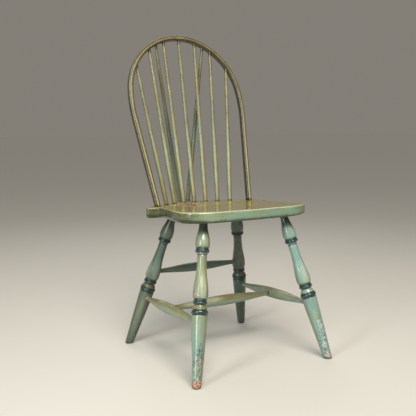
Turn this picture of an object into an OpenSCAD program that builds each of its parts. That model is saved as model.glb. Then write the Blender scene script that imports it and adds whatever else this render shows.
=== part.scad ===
// Braced bow-back side chair in turned and bent wood.
// Frame: +Z up, the sitter faces -Y, the origin is on the floor under the middle of the chair's box.

/* [Plank] */
// Height of the seat's top at the two feet of the bow
seat_h = 450; // [375:1:540]
// Backward slope of the seat, in degrees
seat_pitch = 2.3; // [0:0.1:4]
// Thickness of the seat plank
seat_t = 31; // [26:0.5:40]
// Width across the two rounded front corners
seat_w = 425; // [355:1:510]
// Front edge, ahead of the centre of the spindle arc
seat_front = 114; // [95:1:137]
// How far the front edge bows out at its middle
front_bow = 4.6; // [1:0.1:10]
// How far each side is cut in at the waist, from the front corner's width
waist_cut = 31; // [10:1:45]
// Plank left behind the spindles
rear_margin = 24; // [20:0.5:30]
// Plank left outside each foot of the bow
side_margin = 51; // [42:1:58]
// Width of the tail that carries the two brace spindles
tail_w = 76; // [70:1:90]
// Plank left behind the brace spindles
tail_margin = 23; // [19:1:30]
// Depth of the hollow worked into the top
dish = 5; // [1:0.5:7]

/* [Back] */
// Radius of the arc on which the spindles and the bow stand
arc_r = 243.5; // [225:0.5:292]
// Angle from the middle of the arc to each foot of the bow
bow_angle = 43.4; // [41:0.1:47]
// Backward lean of the bow from upright
recline = 17.7; // [12:0.1:21]
// Outward flare of the bow's two straight legs
bow_flare = 6.4; // [4:0.1:8]
// Length of each straight leg of the bow
bow_straight = 277; // [231:1:332]
// Radius of each shoulder, between the leg and the crown
shoulder_r = 434; // [362:1:520]
// Angle that each shoulder turns through
shoulder_turn = 12.5; // [10.5:0.1:15]
// Thickness of the bow, measured in its own plane
bow_w = 15; // [14:0.5:18]
// Depth of the bow, from its beaded face to its back
bow_d = 19; // [17:0.5:23]
// Diameter of the round tenon at each foot of the bow
bow_tenon_d = 13; // [11:0.5:14]
// Angle between neighbouring spindles on the arc
spindle_pitch = 9.6; // [8.5:0.1:10.2]
// Diameter of a spindle where it enters the seat
spindle_foot_d = 14; // [11.7:0.1:16.8]
// Largest diameter of a spindle, at its low swell
spindle_swell_d = 14.8; // [12.5:0.1:17.5]
// Height of a spindle's swell above the seat
swell_h = 80; // [66:1:96]
// Diameter of a spindle where it enters the bow
spindle_tip_d = 9.5; // [8:0.1:11.4]
// Distance of each brace spindle's foot behind the middle spindle
brace_back = 71; // [62:1:80]
// Distance of each brace spindle's foot from the centre line
brace_foot_x = 16.5; // [14:0.5:20]
// Distance of each brace spindle's tip from the centre line
brace_tip_x = 86; // [80:1:90]

/* [Legs] */
// Inset of each front leg from the widest point of the side
front_inset_x = 74; // [60:1:85]
// Inset of each front leg from the front edge
front_inset_y = 68; // [56:1:80]
// Inset of each rear leg from the foot of the bow, across the seat
rear_inset_x = 51; // [42:1:58]
// Distance of each rear leg ahead of the foot of the bow
rear_inset_y = 4; // [0:1:14]
// Sideways splay of the front legs
front_splay = 11.8; // [8:0.1:14]
// Forward rake of the front legs
front_rake = 14.4; // [9:0.1:16.8]
// Sideways splay of the rear legs
rear_splay = 13.5; // [9:0.1:16]
// Backward rake of the rear legs
rear_rake = 15.9; // [11:0.1:18]
// Length of the turned pattern, from the seat down to the big ring
pattern_l = 251; // [246:1:270]
// Diameter of a leg where it enters the seat
neck_d = 24; // [20:0.5:27]
// Largest diameter of the upper bulb
bulb_d = 41; // [38:0.5:50]
// Slimmest diameter of the shaft below the bulb
shaft_d = 27; // [23:0.5:32]
// Largest diameter of the lower vase
vase_d = 43; // [39:0.5:50]
// Diameter of the two double beads
bead_d = 40; // [37:0.5:46]
// Diameter of the big ring
ring_d = 47; // [44:0.5:54]
// Diameter of the lower cone just under the big ring
cone_d = 44.5; // [40:0.5:50]
// Diameter of the foot
foot_d = 25; // [21:0.5:30]

/* [Stretchers] */
// Distance below the big ring at which a side stretcher enters a front leg
side_drop_front = 29; // [22:1:40]
// Distance below the big ring at which a side stretcher enters a rear leg
side_drop_rear = 31; // [25:1:46]
// Height above the big ring at which the rear stretcher enters a rear leg
rear_rise = 58; // [48:1:66]
// Place of the cross stretcher along the side stretchers, measured from the rear
cross_share = 0.48; // [0.4:0.01:0.6]
// Largest diameter of the side and cross stretchers
stretcher_d = 32; // [29:0.5:38]
// Largest diameter of the rear stretcher
rear_stretcher_d = 28; // [24:0.5:34]
// Diameter of the side stretchers' ends
stretcher_end_d = 13.5; // [11:0.5:16]
// Diameter of the cross stretcher's ends
cross_end_d = 15.5; // [13:0.5:18]
// Diameter of the rear stretcher's ends
rear_stretcher_end_d = 14; // [11.5:0.5:16.5]

/* [Fits] */
// Radial clearance of every round tenon in its socket
fit_gap = 0.1; // [0.05:0.05:0.2]
// Depth of the leg sockets in the seat
leg_socket = 21; // [17:0.5:22]
// Depth of the spindle and bow sockets in the seat
spindle_socket = 19; // [15:0.5:21]
// Depth of the spindle sockets in the bow, square to its inner face
bow_socket = 11.5; // [9.5:0.5:12]
// Distance short of a leg's axis at which a stretcher's tenon ends
tenon_stop = 3; // [2:0.5:5]
// Diameter of the nail-on glides
glide_d = 20; // [17:0.5:24]
// Height of the glides
glide_h = 3; // [2.5:0.5:4]
// Diameter of a glide's nail
nail_d = 3; // [2.5:0.1:3.6]
// Length of a glide's nail above its head
nail_l = 14; // [11:1:17]

/* [Hidden] */
$fn = 64;

seat_green = [0.50, 0.52, 0.31];
leg_green = [0.51, 0.61, 0.52];
bow_green = [0.55, 0.53, 0.30];
glide_steel = [0.16, 0.15, 0.14];

end_clear = 0.5;         // clearance beyond the end of every tenon
shoulder_gap = 0.2;      // clearance under the bow's square shoulders

front_turn_x = 114;      // where the seat's front edge starts to turn into each corner
corner_len = 68;         // length of each front corner, front to back
corner_cut = 52;         // how much the corner's curve cuts off the square corner
waist_ahead = 52;        // distance of the waist ahead of the feet of the bow
rear_round = 9;          // rounding of the seat's rear corners
root_flare = 20;         // how much wider the tail is where it leaves the seat
root_len = 28;           // length over which it narrows to its own width
tail_round = 15;         // rounding of the tail's corners
edge_top_r = 5;          // rounding of the seat's upper edge
edge_low_r = 6;          // inset of the seat's lower edge
edge_low_h = 9;          // height over which the lower edge rounds
dish_front_rim = 25;     // flat rim between the hollow and the front edge
dish_side_rim = 16;      // flat rim between the hollow and the waist
dish_rear_rim = 53.5;    // flat between the hollow and the middle spindle
dish_square = 2.4;       // squareness of the hollow's outline

bead_share = 0.46;       // share of the bow's face taken by its middle bead
groove_depth = 1.1;      // depth of the two grooves beside that bead
groove_w = 0.6;          // width of each groove's floor
back_round = 5;          // rounding of the bow's back

// Heights on the turned pattern of a leg, above the middle of its big ring
cove_base = 8;
cove_top = 21.4;
low_bead = 25.8;
low_small_bead = 32.6;
vase_base = 36;
vase_widest = 50;
shaft_base = 146;
shaft_top = 157;
fillet_top = 163.4;
high_bead = 167.6;
high_small_bead = 173.6;
bulb_base = 176.6;
bulb_widest = 189;
neck_base = 243;

big_ring_h = 11.6;       // height of the big ring
wide_bead_h = 7.4;       // height of the wide bead of each double bead
small_bead_h = 4.4;      // height of its small bead
bead_root = 2.6;         // depth of the grooves beside the beads
small_step = 1.5;        // how much the small bead stands back from the wide one
cove_depth = 4.4;        // depth of the cove above the big ring
cone_step = 9;           // distance of the lower cone's widest place below the big ring
below_foot = 9;          // length of leg that is cut off level at the foot
seam_turn = 90;          // turns a leg's seam away from the low side of its foot
plain_end = 30;          // length of a stretcher's plain end, from the leg's axis
plain_tip = 14;          // length of a spindle's plain tip below the bow

glide_round = 2;         // rounding of a glide's lower edge
glide_rim = 0.6;         // height of a glide's upright rim
nail_point = 2;          // length of a glide nail's point
nail_tip_r = 0.2;        // radius of its blunt tip

// ---- curves ----

// Points of a cubic curve, without its last point.
function bezier(a, b, c, d, n) =
    [for (i = [0:n - 1]) let (t = i / n, s = 1 - t)
        s * s * s * a + 3 * s * s * t * b + 3 * s * t * t * c + t * t * t * d];

// Points of a half-round bead on a turned profile, as [radius, distance].
function bead(middle, height, low, high, n = 6) =
    [for (i = [0:n]) let (a = 180 * i / n) [low + (high - low) * sin(a), middle - height / 2 * cos(a)]];

function mirrored(half) = [for (i = [len(half) - 1:-1:0]) [-half[i].x, half[i].y]];
function unit(v) = v / norm(v);

// ---- the back's places ----

bow_foot = [arc_r * sin(bow_angle), arc_r * cos(bow_angle)];
function seat_z(y) = seat_h + tan(seat_pitch) * (bow_foot.y - y);
function under_z(y) = seat_z(y) - seat_t / cos(seat_pitch);

// The bow's plane: u is across, v is up its slope and w is out of its back.
up_slope = [0, sin(recline), cos(recline)];
out_back = [0, cos(recline), -sin(recline)];
function bow_point(u, v, w = 0) =
    [0, bow_foot.y, seat_h] + [u, 0, 0] + v * up_slope + w * out_back;

// The bow's path: a straight leg, a shoulder, and a crown that is centred on u = 0.
shoulder_start = [bow_foot.x + bow_straight * sin(bow_flare), bow_straight * cos(bow_flare)];
shoulder_centre = shoulder_start - shoulder_r * [cos(bow_flare), -sin(bow_flare)];
crown_angle = bow_flare - shoulder_turn;
crown_start = shoulder_centre + shoulder_r * [cos(crown_angle), -sin(crown_angle)];
crown_r = crown_start.x / cos(crown_angle);
crown_v = crown_start.y + crown_r * sin(crown_angle);
crown_top = crown_v + crown_r;

// Place on the bow's inner face of a spindle whose tip is x from the centre line.
function inner_face(x) = bow_point(x, crown_v + sqrt(pow(crown_r - bow_w / 2, 2) - x * x));
function inner_normal(x) =
    let (s = x / (crown_r - bow_w / 2)) s * [1, 0, 0] + sqrt(1 - s * s) * up_slope;

// Tips of the spindles from the middle outwards.
tip_x = [0, 57, 112, 165];

function arc_foot(angle) = let (y = arc_r * cos(angle)) [arc_r * sin(angle), y, seat_z(y)];
function spindle_foot(i) = arc_foot(i * spindle_pitch);
function spindle_tip(i) = inner_face(sign(i) * tip_x[abs(i)]);
brace_y = arc_r + brace_back;
function brace_foot(side) = [side * brace_foot_x, brace_y, seat_z(brace_y)];
function brace_tip(side) = inner_face(side * brace_tip_x);

// Depth along a spindle at which its tip stops inside the bow.
function tip_depth(foot, tip) =
    let (c = unit(tip - foot) * inner_normal(tip.x), s = sqrt(1 - c * c))
    (bow_socket - spindle_tip_d / 2 * s) / c;

// ---- the legs' places ----

function front_socket(side) =
    let (y = front_inset_y - seat_front) [side * (seat_w / 2 - front_inset_x), y, under_z(y)];
function rear_socket(side) =
    let (y = bow_foot.y - rear_inset_y) [side * (bow_foot.x - rear_inset_x), y, under_z(y)];
function front_foot(side) =
    let (s = front_socket(side)) [s.x + side * s.z * tan(front_splay), s.y - s.z * tan(front_rake), 0];
function rear_foot(side) =
    let (s = rear_socket(side)) [s.x + side * s.z * tan(rear_splay), s.y + s.z * tan(rear_rake), 0];

// Point on a leg's axis, a distance above the middle of its big ring.
function on_leg(foot, socket, rise) = socket + (rise - pattern_l) * unit(socket - foot);
function side_rear(side) = on_leg(rear_foot(side), rear_socket(side), -side_drop_rear);
function side_front(side) = on_leg(front_foot(side), front_socket(side), -side_drop_front);
function cross_end(side) = side_rear(side) + cross_share * (side_front(side) - side_rear(side));
function rear_end(side) = on_leg(rear_foot(side), rear_socket(side), rear_rise);

// Middle of the chair's box, front to back: from the front feet to the back of the bow's crown.
box_front = front_foot(1).y + (glide_h + fit_gap) * tan(front_rake) - foot_d / 2 / cos(front_rake);
box_back = bow_point(0, crown_top + bow_w / 2 - back_round, bow_d / 2 - back_round).y + back_round;
box_middle = (box_front + box_back) / 2;

// ---- placing ----

// Stands its children on a point, with their +Z along a direction.
module stand(point, direction) {
    d = unit(direction);
    translate(point)
        rotate([0, acos(d.z), atan2(d.y, d.x)])
            children();
}

// Moves the chair so that its origin is under the middle of its box.
module centred() {
    translate([0, -box_middle, 0])
        children();
}

// A round socket that starts outside a face and runs to a depth inside it.
module socket(point, direction, diameter, depth, above = 30) {
    stand(point, direction)
        translate([0, 0, -above])
            cylinder(h = above + depth, d = diameter + 2 * fit_gap);
}

// ---- seat ----

front_turn = [front_turn_x, front_bow - seat_front];
ear = [seat_w / 2, front_turn.y + corner_len];
waist = [ear.x - waist_cut, bow_foot.y - waist_ahead];
rear_r = arc_r + rear_margin;
corner_x = bow_foot.x + side_margin;
corner = [corner_x, sqrt(rear_r * rear_r - corner_x * corner_x)];
corner_in = unit([0.75, 0.67]);
corner_out = unit([-corner.y, corner.x]);
tail_x = tail_w / 2;
tail_y = brace_y + tail_margin;
root_angle = asin((tail_x + root_flare) / rear_r);
corner_angle = atan2(corner.x, corner.y);
round_angle = corner_angle - asin(rear_round / rear_r);
root = rear_r * [sin(root_angle), cos(root_angle)];

// Right half of the seat's outline, from the middle of the front to the middle of the tail.
seat_half = concat(
    bezier([0, -seat_front], [front_turn.x / 2, -seat_front], front_turn - [24, 0], front_turn, 4),
    bezier(front_turn, [ear.x - corner_cut, front_turn.y], ear - [0, corner_len / 2], ear, 10),
    bezier(ear, ear + [0, 43], waist - [0, 36], waist, 9),
    bezier(waist, waist + [0, 22], corner - 22 * corner_in, corner - rear_round * corner_in, 6),
    bezier(corner - rear_round * corner_in, corner - rear_round / 3 * corner_in,
           corner + rear_round / 3 * corner_out, rear_r * [sin(round_angle), cos(round_angle)], 4),
    [for (i = [0:11]) let (a = round_angle + (root_angle - round_angle) * i / 12)
        rear_r * [sin(a), cos(a)]],
    bezier(root, root + root_len / 2 * unit([-root.y, root.x]),
           [tail_x, root.y + root_len * 0.4], [tail_x, root.y + root_len], 5),
    bezier([tail_x, tail_y - tail_round], [tail_x, tail_y - tail_round / 3],
           [tail_x - tail_round / 3, tail_y], [tail_x - tail_round, tail_y], 4),
    [[tail_x - tail_round, tail_y], [0, tail_y]]
);
seat_outline = concat(seat_half, [for (p = mirrored(seat_half)) if (p.x < -0.01) p]);
seat_n = len(seat_outline);

// The outline moved inwards by a distance, square to itself.
function inset(distance) =
    [for (i = [0:seat_n - 1])
        let (before = seat_outline[(i + seat_n - 1) % seat_n], after = seat_outline[(i + 1) % seat_n],
             along = unit(after - before))
        seat_outline[i] + distance * [-along.y, along.x]];

// Edge of the hollow in the top, seen from its own middle in the direction of an outline point.
dish_middle = [0, 45];
dish_x = waist.x - dish_side_rim;
dish_rear = arc_r - dish_middle.y - dish_rear_rim;
dish_front = seat_front + dish_middle.y - dish_front_rim;
function dish_edge(p) =
    let (d = unit(p - dish_middle), dish_y = d.y > 0 ? dish_rear : dish_front, k = dish_square)
    d / pow(pow(abs(d.x) / dish_x, k) + pow(abs(d.y) / dish_y, k), 1 / k);

function ring_at(points, z) = [for (p = points) [p.x, p.y, z]];
function dish_ring(share, z) = ring_at([for (p = seat_outline) dish_middle + share * dish_edge(p)], z);

// The hollow's rings as [share of its outline, share of its depth].
dish_steps = [[1, 0], [0.9, 0.22], [0.78, 0.55], [0.62, 0.82], [0.42, 0.96], [0.2, 1]];
edge_steps = 4;

// The seat's skin, as rings from the underside up, over the edge and into the hollow.
seat_rings = concat(
    [for (i = [0:edge_steps]) let (a = 90 * i / edge_steps)
        ring_at(inset(edge_low_r * (1 - sin(a))), edge_low_h * (1 - cos(a)) - seat_t)],
    [for (i = [0:edge_steps]) let (a = 90 * i / edge_steps)
        ring_at(inset(edge_top_r * (1 - cos(a))), edge_top_r * (sin(a) - 1))],
    [for (s = dish_steps) dish_ring(s[0], -dish * s[1])]
);

// Faces of a stack of rings of n points each, as triangles that face outwards.
function skin_faces(n, rings) =
    [for (r = [0:rings - 2], i = [0:n - 1], half = [0, 1])
        let (a = r * n + i, b = r * n + (i + 1) % n)
        half == 0 ? [a, a + n, b] : [b, a + n, b + n]];

module seat_plank() {
    count = len(seat_rings);
    points = [for (ring = seat_rings, p = ring) p];
    floor_face = [for (i = [0:seat_n - 1]) i];
    top_face = [for (i = [seat_n - 1:-1:0]) (count - 1) * seat_n + i];
    faces = concat([floor_face, top_face], skin_faces(seat_n, count));
    translate([0, bow_foot.y, seat_h])
        rotate([-seat_pitch, 0, 0])
            translate([0, -bow_foot.y, 0])
                polyhedron(points, faces, convexity = 6);
}

module seat() {
    color(seat_green)
        centred()
            difference() {
                seat_plank();
                for (side = [-1, 1]) {
                    socket(front_socket(side), front_socket(side) - front_foot(side), neck_d, leg_socket);
                    socket(rear_socket(side), rear_socket(side) - rear_foot(side), neck_d, leg_socket);
                    socket(brace_foot(side), brace_foot(side) - brace_tip(side), spindle_foot_d,
                           spindle_socket);
                    socket(bow_point(side * bow_foot.x, 0), -bow_leg_direction(side), bow_tenon_d,
                           spindle_socket);
                }
                for (i = [-3:3])
                    socket(spindle_foot(i), spindle_foot(i) - spindle_tip(i), spindle_foot_d,
                           spindle_socket);
            }
}

// ---- bow ----

function bow_leg_direction(side) = side * sin(bow_flare) * [1, 0, 0] + cos(bow_flare) * up_slope;

crown_steps = 24;
shoulder_steps = 5;
// Right half of the bow's path as [u, v, angle of its outward side], from the foot to the crown's top.
bow_half = concat(
    [[bow_foot.x, 0, bow_flare]],
    [for (i = [0:shoulder_steps - 1]) let (a = bow_flare - shoulder_turn * i / shoulder_steps)
        let (p = shoulder_centre + shoulder_r * [cos(a), -sin(a)]) [p.x, p.y, a]],
    [for (i = [0:crown_steps]) let (a = crown_angle - (90 + crown_angle) * i / crown_steps)
        [crown_r * cos(a), crown_v - crown_r * sin(a), a]]
);
bow_path = concat(bow_half, [for (i = [len(bow_half) - 2:-1:0])
    [-bow_half[i][0], bow_half[i][1], -180 - bow_half[i][2]]]);

// The bow's section as [outwards, backwards]: a beaded face, grooves beside it and a rounded back.
bead_half = bead_share * bow_w / 2;
groove_end = bead_half + groove_w;
lip = bow_w / 2 - groove_end;
section_half = concat(
    [for (i = [0:4]) let (a = 90 * i / 4)
        [bead_half * sin(a), groove_depth * (1 - cos(a)) - bow_d / 2]],
    [[groove_end, groove_depth - bow_d / 2]],
    [for (i = [1:4]) let (a = 90 * i / 4)
        [groove_end + lip * sin(a), groove_depth + lip * (1 - cos(a)) - bow_d / 2]],
    [for (i = [0:4]) let (a = 90 * i / 4)
        [bow_w / 2 - back_round * (1 - cos(a)), bow_d / 2 - back_round * (1 - sin(a))]]
);
bow_section = concat(section_half, [for (p = mirrored(section_half)) if (p.x < -0.01) p]);
section_n = len(bow_section);

// One ring of the bow. The two end rings are slid along the legs onto the seat's surface.
function bow_ring(k) =
    let (s = bow_path[k], last = len(bow_path) - 1)
    [for (p = bow_section)
        let (q = bow_point(s[0] + p.x * cos(s[2]), s[1] - p.x * sin(s[2]), p.y))
        (k > 0 && k < last) ? q : on_seat(q, bow_leg_direction(k == 0 ? 1 : -1))];
function on_seat(q, direction) =
    q + direction * (seat_z(q.y) + shoulder_gap - q.z) / (direction.z + tan(seat_pitch) * direction.y);

module bow_hoop() {
    count = len(bow_path);
    points = [for (k = [0:count - 1], p = bow_ring(k)) p];
    first_face = [for (i = [0:section_n - 1]) i];
    last_face = [for (i = [section_n - 1:-1:0]) (count - 1) * section_n + i];
    polyhedron(points, concat([first_face, last_face], skin_faces(section_n, count)), convexity = 6);
}

module bow() {
    color(bow_green)
        centred()
            difference() {
                union() {
                    bow_hoop();
                    for (side = [-1, 1])
                        stand(bow_point(side * bow_foot.x, 0), bow_leg_direction(side))
                            translate([0, 0, end_clear - spindle_socket])
                                cylinder(h = spindle_socket + 12, d = bow_tenon_d);
                }
                for (i = [-3:3])
                    socket(spindle_tip(i), spindle_tip(i) - spindle_foot(i), spindle_tip_d,
                           tip_depth(spindle_foot(i), spindle_tip(i)) + end_clear);
                for (side = [-1, 1])
                    socket(brace_tip(side), brace_tip(side) - brace_foot(side), spindle_tip_d,
                           tip_depth(brace_foot(side), brace_tip(side)) + end_clear);
            }
}

// ---- spindles ----

// A shaved spindle between its place on the seat and its place on the bow's inner face.
module spindle(foot, tip) {
    length = norm(tip - foot);
    depth = tip_depth(foot, tip);
    foot_r = spindle_foot_d / 2;
    tip_r = spindle_tip_d / 2;
    swell = [spindle_swell_d / 2, swell_h];
    tip_start = [tip_r, length - plain_tip];
    outline = concat(
        [[0, end_clear - spindle_socket], [foot_r, end_clear - spindle_socket]],
        bezier([foot_r, 6], [foot_r + 0.2, 24], swell - [0, 30], swell, 8),
        bezier(swell, swell + [0, length * 0.2], [tip_r + 1, length * 0.66], tip_start, 12),
        [tip_start, [tip_r, length + depth], [0, length + depth]]
    );
    stand(foot, tip - foot)
        rotate_extrude()
            polygon(outline);
}

module main_spindle(i) {
    color(bow_green)
        centred()
            spindle(spindle_foot(i), spindle_tip(i));
}

module brace_spindle(side) {
    color(bow_green)
        centred()
            spindle(brace_foot(side), brace_tip(side));
}

module spindle_1() { main_spindle(-3); }
module spindle_2() { main_spindle(-2); }
module spindle_3() { main_spindle(-1); }
module spindle_4() { main_spindle(0); }
module spindle_5() { main_spindle(1); }
module spindle_6() { main_spindle(2); }
module spindle_7() { main_spindle(3); }
module brace_spindle_left() { brace_spindle(-1); }
module brace_spindle_right() { brace_spindle(1); }

// ---- legs ----

// Outline of a turned leg as [radius, distance from the floor along its axis].
function leg_outline(length) =
    let (ring = length - pattern_l, top = length + leg_socket - end_clear,
         foot_r = foot_d / 2, cone = [cone_d / 2, ring - cone_step], bead_r = bead_d / 2,
         cove_r = bead_r - cove_depth, vase = [vase_d / 2, ring + vase_widest],
         shaft_low = [shaft_d / 2, ring + shaft_base], shaft_high = [shaft_d / 2, ring + shaft_top],
         bulb = [bulb_d / 2, ring + bulb_widest], neck = [neck_d / 2, ring + neck_base])
    concat(
        [[0, -below_foot], [foot_r, -below_foot]],
        bezier([foot_r, 0], [foot_r + (cone.x - foot_r) * 0.36, cone.y * 0.33],
               [cone.x - 1, cone.y * 0.82], cone, 9),
        [cone, [cone.x - 0.6, ring - big_ring_h / 2 - 1.2]],
        bead(ring, big_ring_h, cone.x - 2, ring_d / 2),
        [[bead_r - 0.6, ring + cove_base - 1.2]],
        bezier([bead_r + 0.4, ring + cove_base], [bead_r, ring + cove_base + 5],
               [cove_r, ring + cove_base + 7], [cove_r, ring + cove_top], 6),
        double_bead(ring + low_bead, ring + low_small_bead),
        bezier([bead_r - bead_root, ring + vase_base], [vase.x, ring + vase_base + 2],
               vase - [0, 6], vase, 7),
        bezier(vase, vase + [0, 28], shaft_low - [0, 56], shaft_low, 12),
        [shaft_low, shaft_high, shaft_high + [-0.7, 1], shaft_high + [1, 2],
         [shaft_d / 2 + 1.2, ring + fillet_top]],
        double_bead(ring + high_bead, ring + high_small_bead),
        bezier([bead_r - bead_root, ring + bulb_base], [bulb.x, ring + bulb_base + 2],
               bulb - [0, 5], bulb, 7),
        bezier(bulb, bulb + [0, 20], neck - [0, 21], neck, 9),
        [neck, [neck.x, top], [0, top]]
    );

// A wide bead with a small one above it.
function double_bead(wide, small) =
    let (r = bead_d / 2)
    concat(
        bead(wide, wide_bead_h, r - bead_root, r),
        bead(small, small_bead_h, r - bead_root, r - small_step, 4)
    );

module turned_leg(foot, socket_point) {
    axis = socket_point - foot;
    block = 2 * foot_d;
    difference() {
        stand(foot, axis)
            rotate([0, 0, seam_turn])
                rotate_extrude()
                    polygon(leg_outline(norm(axis)));
        translate([foot.x - block / 2, foot.y - block / 2, -block])
            cube([block, block, block + glide_h + fit_gap]);
        translate([foot.x, foot.y, 0])
            cylinder(h = glide_h + nail_l + end_clear, d = nail_d + 2 * fit_gap);
    }
}

module front_leg(side) {
    color(leg_green)
        centred()
            difference() {
                turned_leg(front_foot(side), front_socket(side));
                stretcher_socket(side_front(side), side_rear(side));
            }
}

module rear_leg(side) {
    color(leg_green)
        centred()
            difference() {
                turned_leg(rear_foot(side), rear_socket(side));
                stretcher_socket(side_rear(side), side_front(side));
                stretcher_socket(rear_end(side), rear_end(-side), rear_stretcher_end_d);
            }
}

module front_leg_left() { front_leg(-1); }
module front_leg_right() { front_leg(1); }
module rear_leg_left() { rear_leg(-1); }
module rear_leg_right() { rear_leg(1); }

// ---- stretchers ----

// Socket that a stretcher from `other` needs in the piece whose axis passes through `point`.
module stretcher_socket(point, other, end_d = stretcher_end_d) {
    stand(point, other - point)
        translate([0, 0, tenon_stop - end_clear])
            cylinder(h = ring_d, d = end_d + 2 * fit_gap);
}

// A turned stretcher between two axes, swelling to its middle.
module stretcher(from, to, swell_d, end_d = stretcher_end_d) {
    length = norm(to - from);
    end_r = end_d / 2;
    mid_r = swell_d / 2;
    low = concat(
        [[end_r, tenon_stop]],
        bezier([end_r, plain_end], [end_r + 1.5, plain_end + length * 0.12],
               [mid_r, length * 0.3], [mid_r, length / 2], 10)
    );
    outline = concat(
        [[0, tenon_stop]], low, [[mid_r, length / 2]],
        [for (i = [len(low) - 1:-1:0]) [low[i].x, length - low[i].y]],
        [[0, length - tenon_stop]]
    );
    stand(from, to - from)
        rotate_extrude()
            polygon(outline);
}

module side_stretcher(side) {
    color(leg_green)
        centred()
            difference() {
                stretcher(side_rear(side), side_front(side), stretcher_d);
                stretcher_socket(cross_end(side), cross_end(-side), cross_end_d);
            }
}

module side_stretcher_left() { side_stretcher(-1); }
module side_stretcher_right() { side_stretcher(1); }

module cross_stretcher() {
    color(leg_green)
        centred()
            stretcher(cross_end(-1), cross_end(1), stretcher_d, cross_end_d);
}

module rear_stretcher() {
    color(leg_green)
        centred()
            stretcher(rear_end(-1), rear_end(1), rear_stretcher_d, rear_stretcher_end_d);
}

// ---- glides ----

// A domed steel glide with its nail, flat where it rests on the floor.
module glide(foot) {
    flat_r = glide_d / 2 - glide_round;
    round_h = glide_h - glide_rim;
    nail_top = glide_h + nail_l;
    outline = concat(
        [[0, 0], [flat_r, 0]],
        [for (i = [1:4]) let (a = 90 * i / 4) [flat_r + glide_round * sin(a), round_h * (1 - cos(a))]],
        [[glide_d / 2, glide_h], [nail_d / 2, glide_h]],
        [[nail_d / 2, nail_top - nail_point], [nail_tip_r, nail_top], [0, nail_top]]
    );
    color(glide_steel)
        centred()
            translate([foot.x, foot.y, 0])
                rotate_extrude()
                    polygon(outline);
}

module front_glide_left() { glide(front_foot(-1)); }
module front_glide_right() { glide(front_foot(1)); }
module rear_glide_left() { glide(rear_foot(-1)); }
module rear_glide_right() { glide(rear_foot(1)); }

seat();
bow();
spindle_1();
spindle_2();
spindle_3();
spindle_4();
spindle_5();
spindle_6();
spindle_7();
brace_spindle_left();
brace_spindle_right();
front_leg_left();
front_leg_right();
rear_leg_left();
rear_leg_right();
side_stretcher_left();
side_stretcher_right();
cross_stretcher();
rear_stretcher();
front_glide_left();
front_glide_right();
rear_glide_left();
rear_glide_right();
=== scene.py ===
"""Braced bow-back side chair in worn, glazed green paint.

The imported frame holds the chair's construction. This script gives every piece its finished form and
its paint: turned legs, stretchers and spindles, the bent hoop, the plank, the steel glides and the
lifted flakes of paint. The sizes of the pieces are in millimetres and are turned into metres when a
mesh is made. The studio's are in metres.
"""

import logging
import math
from dataclasses import dataclass, field, replace
from enum import Enum
from typing import Any

import bpy
import numpy as np
from bpy.types import Material, Mesh, Node, NodeSocket, NodeTree, Object
from mathutils import Euler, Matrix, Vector


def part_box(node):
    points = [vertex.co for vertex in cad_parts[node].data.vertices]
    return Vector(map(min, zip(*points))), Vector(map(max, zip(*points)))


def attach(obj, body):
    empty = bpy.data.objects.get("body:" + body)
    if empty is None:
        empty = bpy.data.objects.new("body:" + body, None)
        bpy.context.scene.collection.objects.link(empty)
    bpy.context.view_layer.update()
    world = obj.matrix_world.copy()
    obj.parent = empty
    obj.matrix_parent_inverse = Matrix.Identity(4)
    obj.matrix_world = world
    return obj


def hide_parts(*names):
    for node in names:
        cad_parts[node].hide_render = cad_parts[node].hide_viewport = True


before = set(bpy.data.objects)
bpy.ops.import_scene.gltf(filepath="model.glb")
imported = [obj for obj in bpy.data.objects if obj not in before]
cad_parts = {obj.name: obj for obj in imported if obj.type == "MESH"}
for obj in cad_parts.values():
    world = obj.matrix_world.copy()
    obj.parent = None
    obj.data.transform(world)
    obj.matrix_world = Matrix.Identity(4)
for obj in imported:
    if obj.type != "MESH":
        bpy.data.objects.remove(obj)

LOG = logging.getLogger("chair")
MM = 0.001
ROOT = "root"
FRONT_AZIMUTH = -90.0  # direction of the chair's front in the ground plane, in degrees from +X
ALL_ROUND = 200.0  # half width of a spot that goes round a whole leg, in millimetres

Row = tuple[float, float, float, float]
Triple = tuple[float, float, float]
Array = np.ndarray


class Slot(Enum):
    """Material slots."""

    PLANK = "seat_paint"
    BACK = "back_paint"
    LEG = "leg_paint"
    STEEL = "glide_steel"


class Wear(Enum):
    """Point attributes that the paint reads, each from 0 to 1: wear, painted shade and painted
    highlights.
    """

    BAND = "band"
    # darker paint: soiling at joints and feet, and painted shade under the plank, on undersides, in
    # creases and on sides turned from the light
    GRIME = "grime"
    GLAZE = "glaze"
    BARE = "bare"
    SCUFF = "scuff"
    SPECK = "speck"
    # lighter paint: rubbed edges, and painted highlights on bulges, beads and edges that face the light
    PALE = "pale"


class Place(Enum):
    """Front and rear legs."""

    FRONT = "front"
    REAR = "rear"


class Side(Enum):
    """Left and right as seen by someone who looks at the chair's front."""

    LEFT = "left"
    RIGHT = "right"


class Socket(Enum):
    """Types of the sockets of the node trees."""

    NUMBER = "NodeSocketFloat"
    COUNT = "NodeSocketInt"
    VECTOR = "NodeSocketVector"
    GEOMETRY = "NodeSocketGeometry"
    OBJECT = "NodeSocketObject"
    MATERIAL = "NodeSocketMaterial"


# ---------------------------------------------------------------- colours and node trees


def tone(code: str) -> tuple[float, float, float, float]:
    """Turn a colour written as RRGGBB into linear red, green, blue and alpha.

    Args:
        code: six hexadecimal digits, as seen on a screen.

    Returns:
        The linear colour, opaque.
    """
    knee, slope, offset, power = 0.04045, 12.92, 0.055, 2.4  # the standard curve of a screen
    parts = [int(code[i : i + 2], 16) / 255 for i in (0, 2, 4)]
    lin = [p / slope if p <= knee else ((p + offset) / (1 + offset)) ** power for p in parts]
    return lin[0], lin[1], lin[2], 1.0


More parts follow.
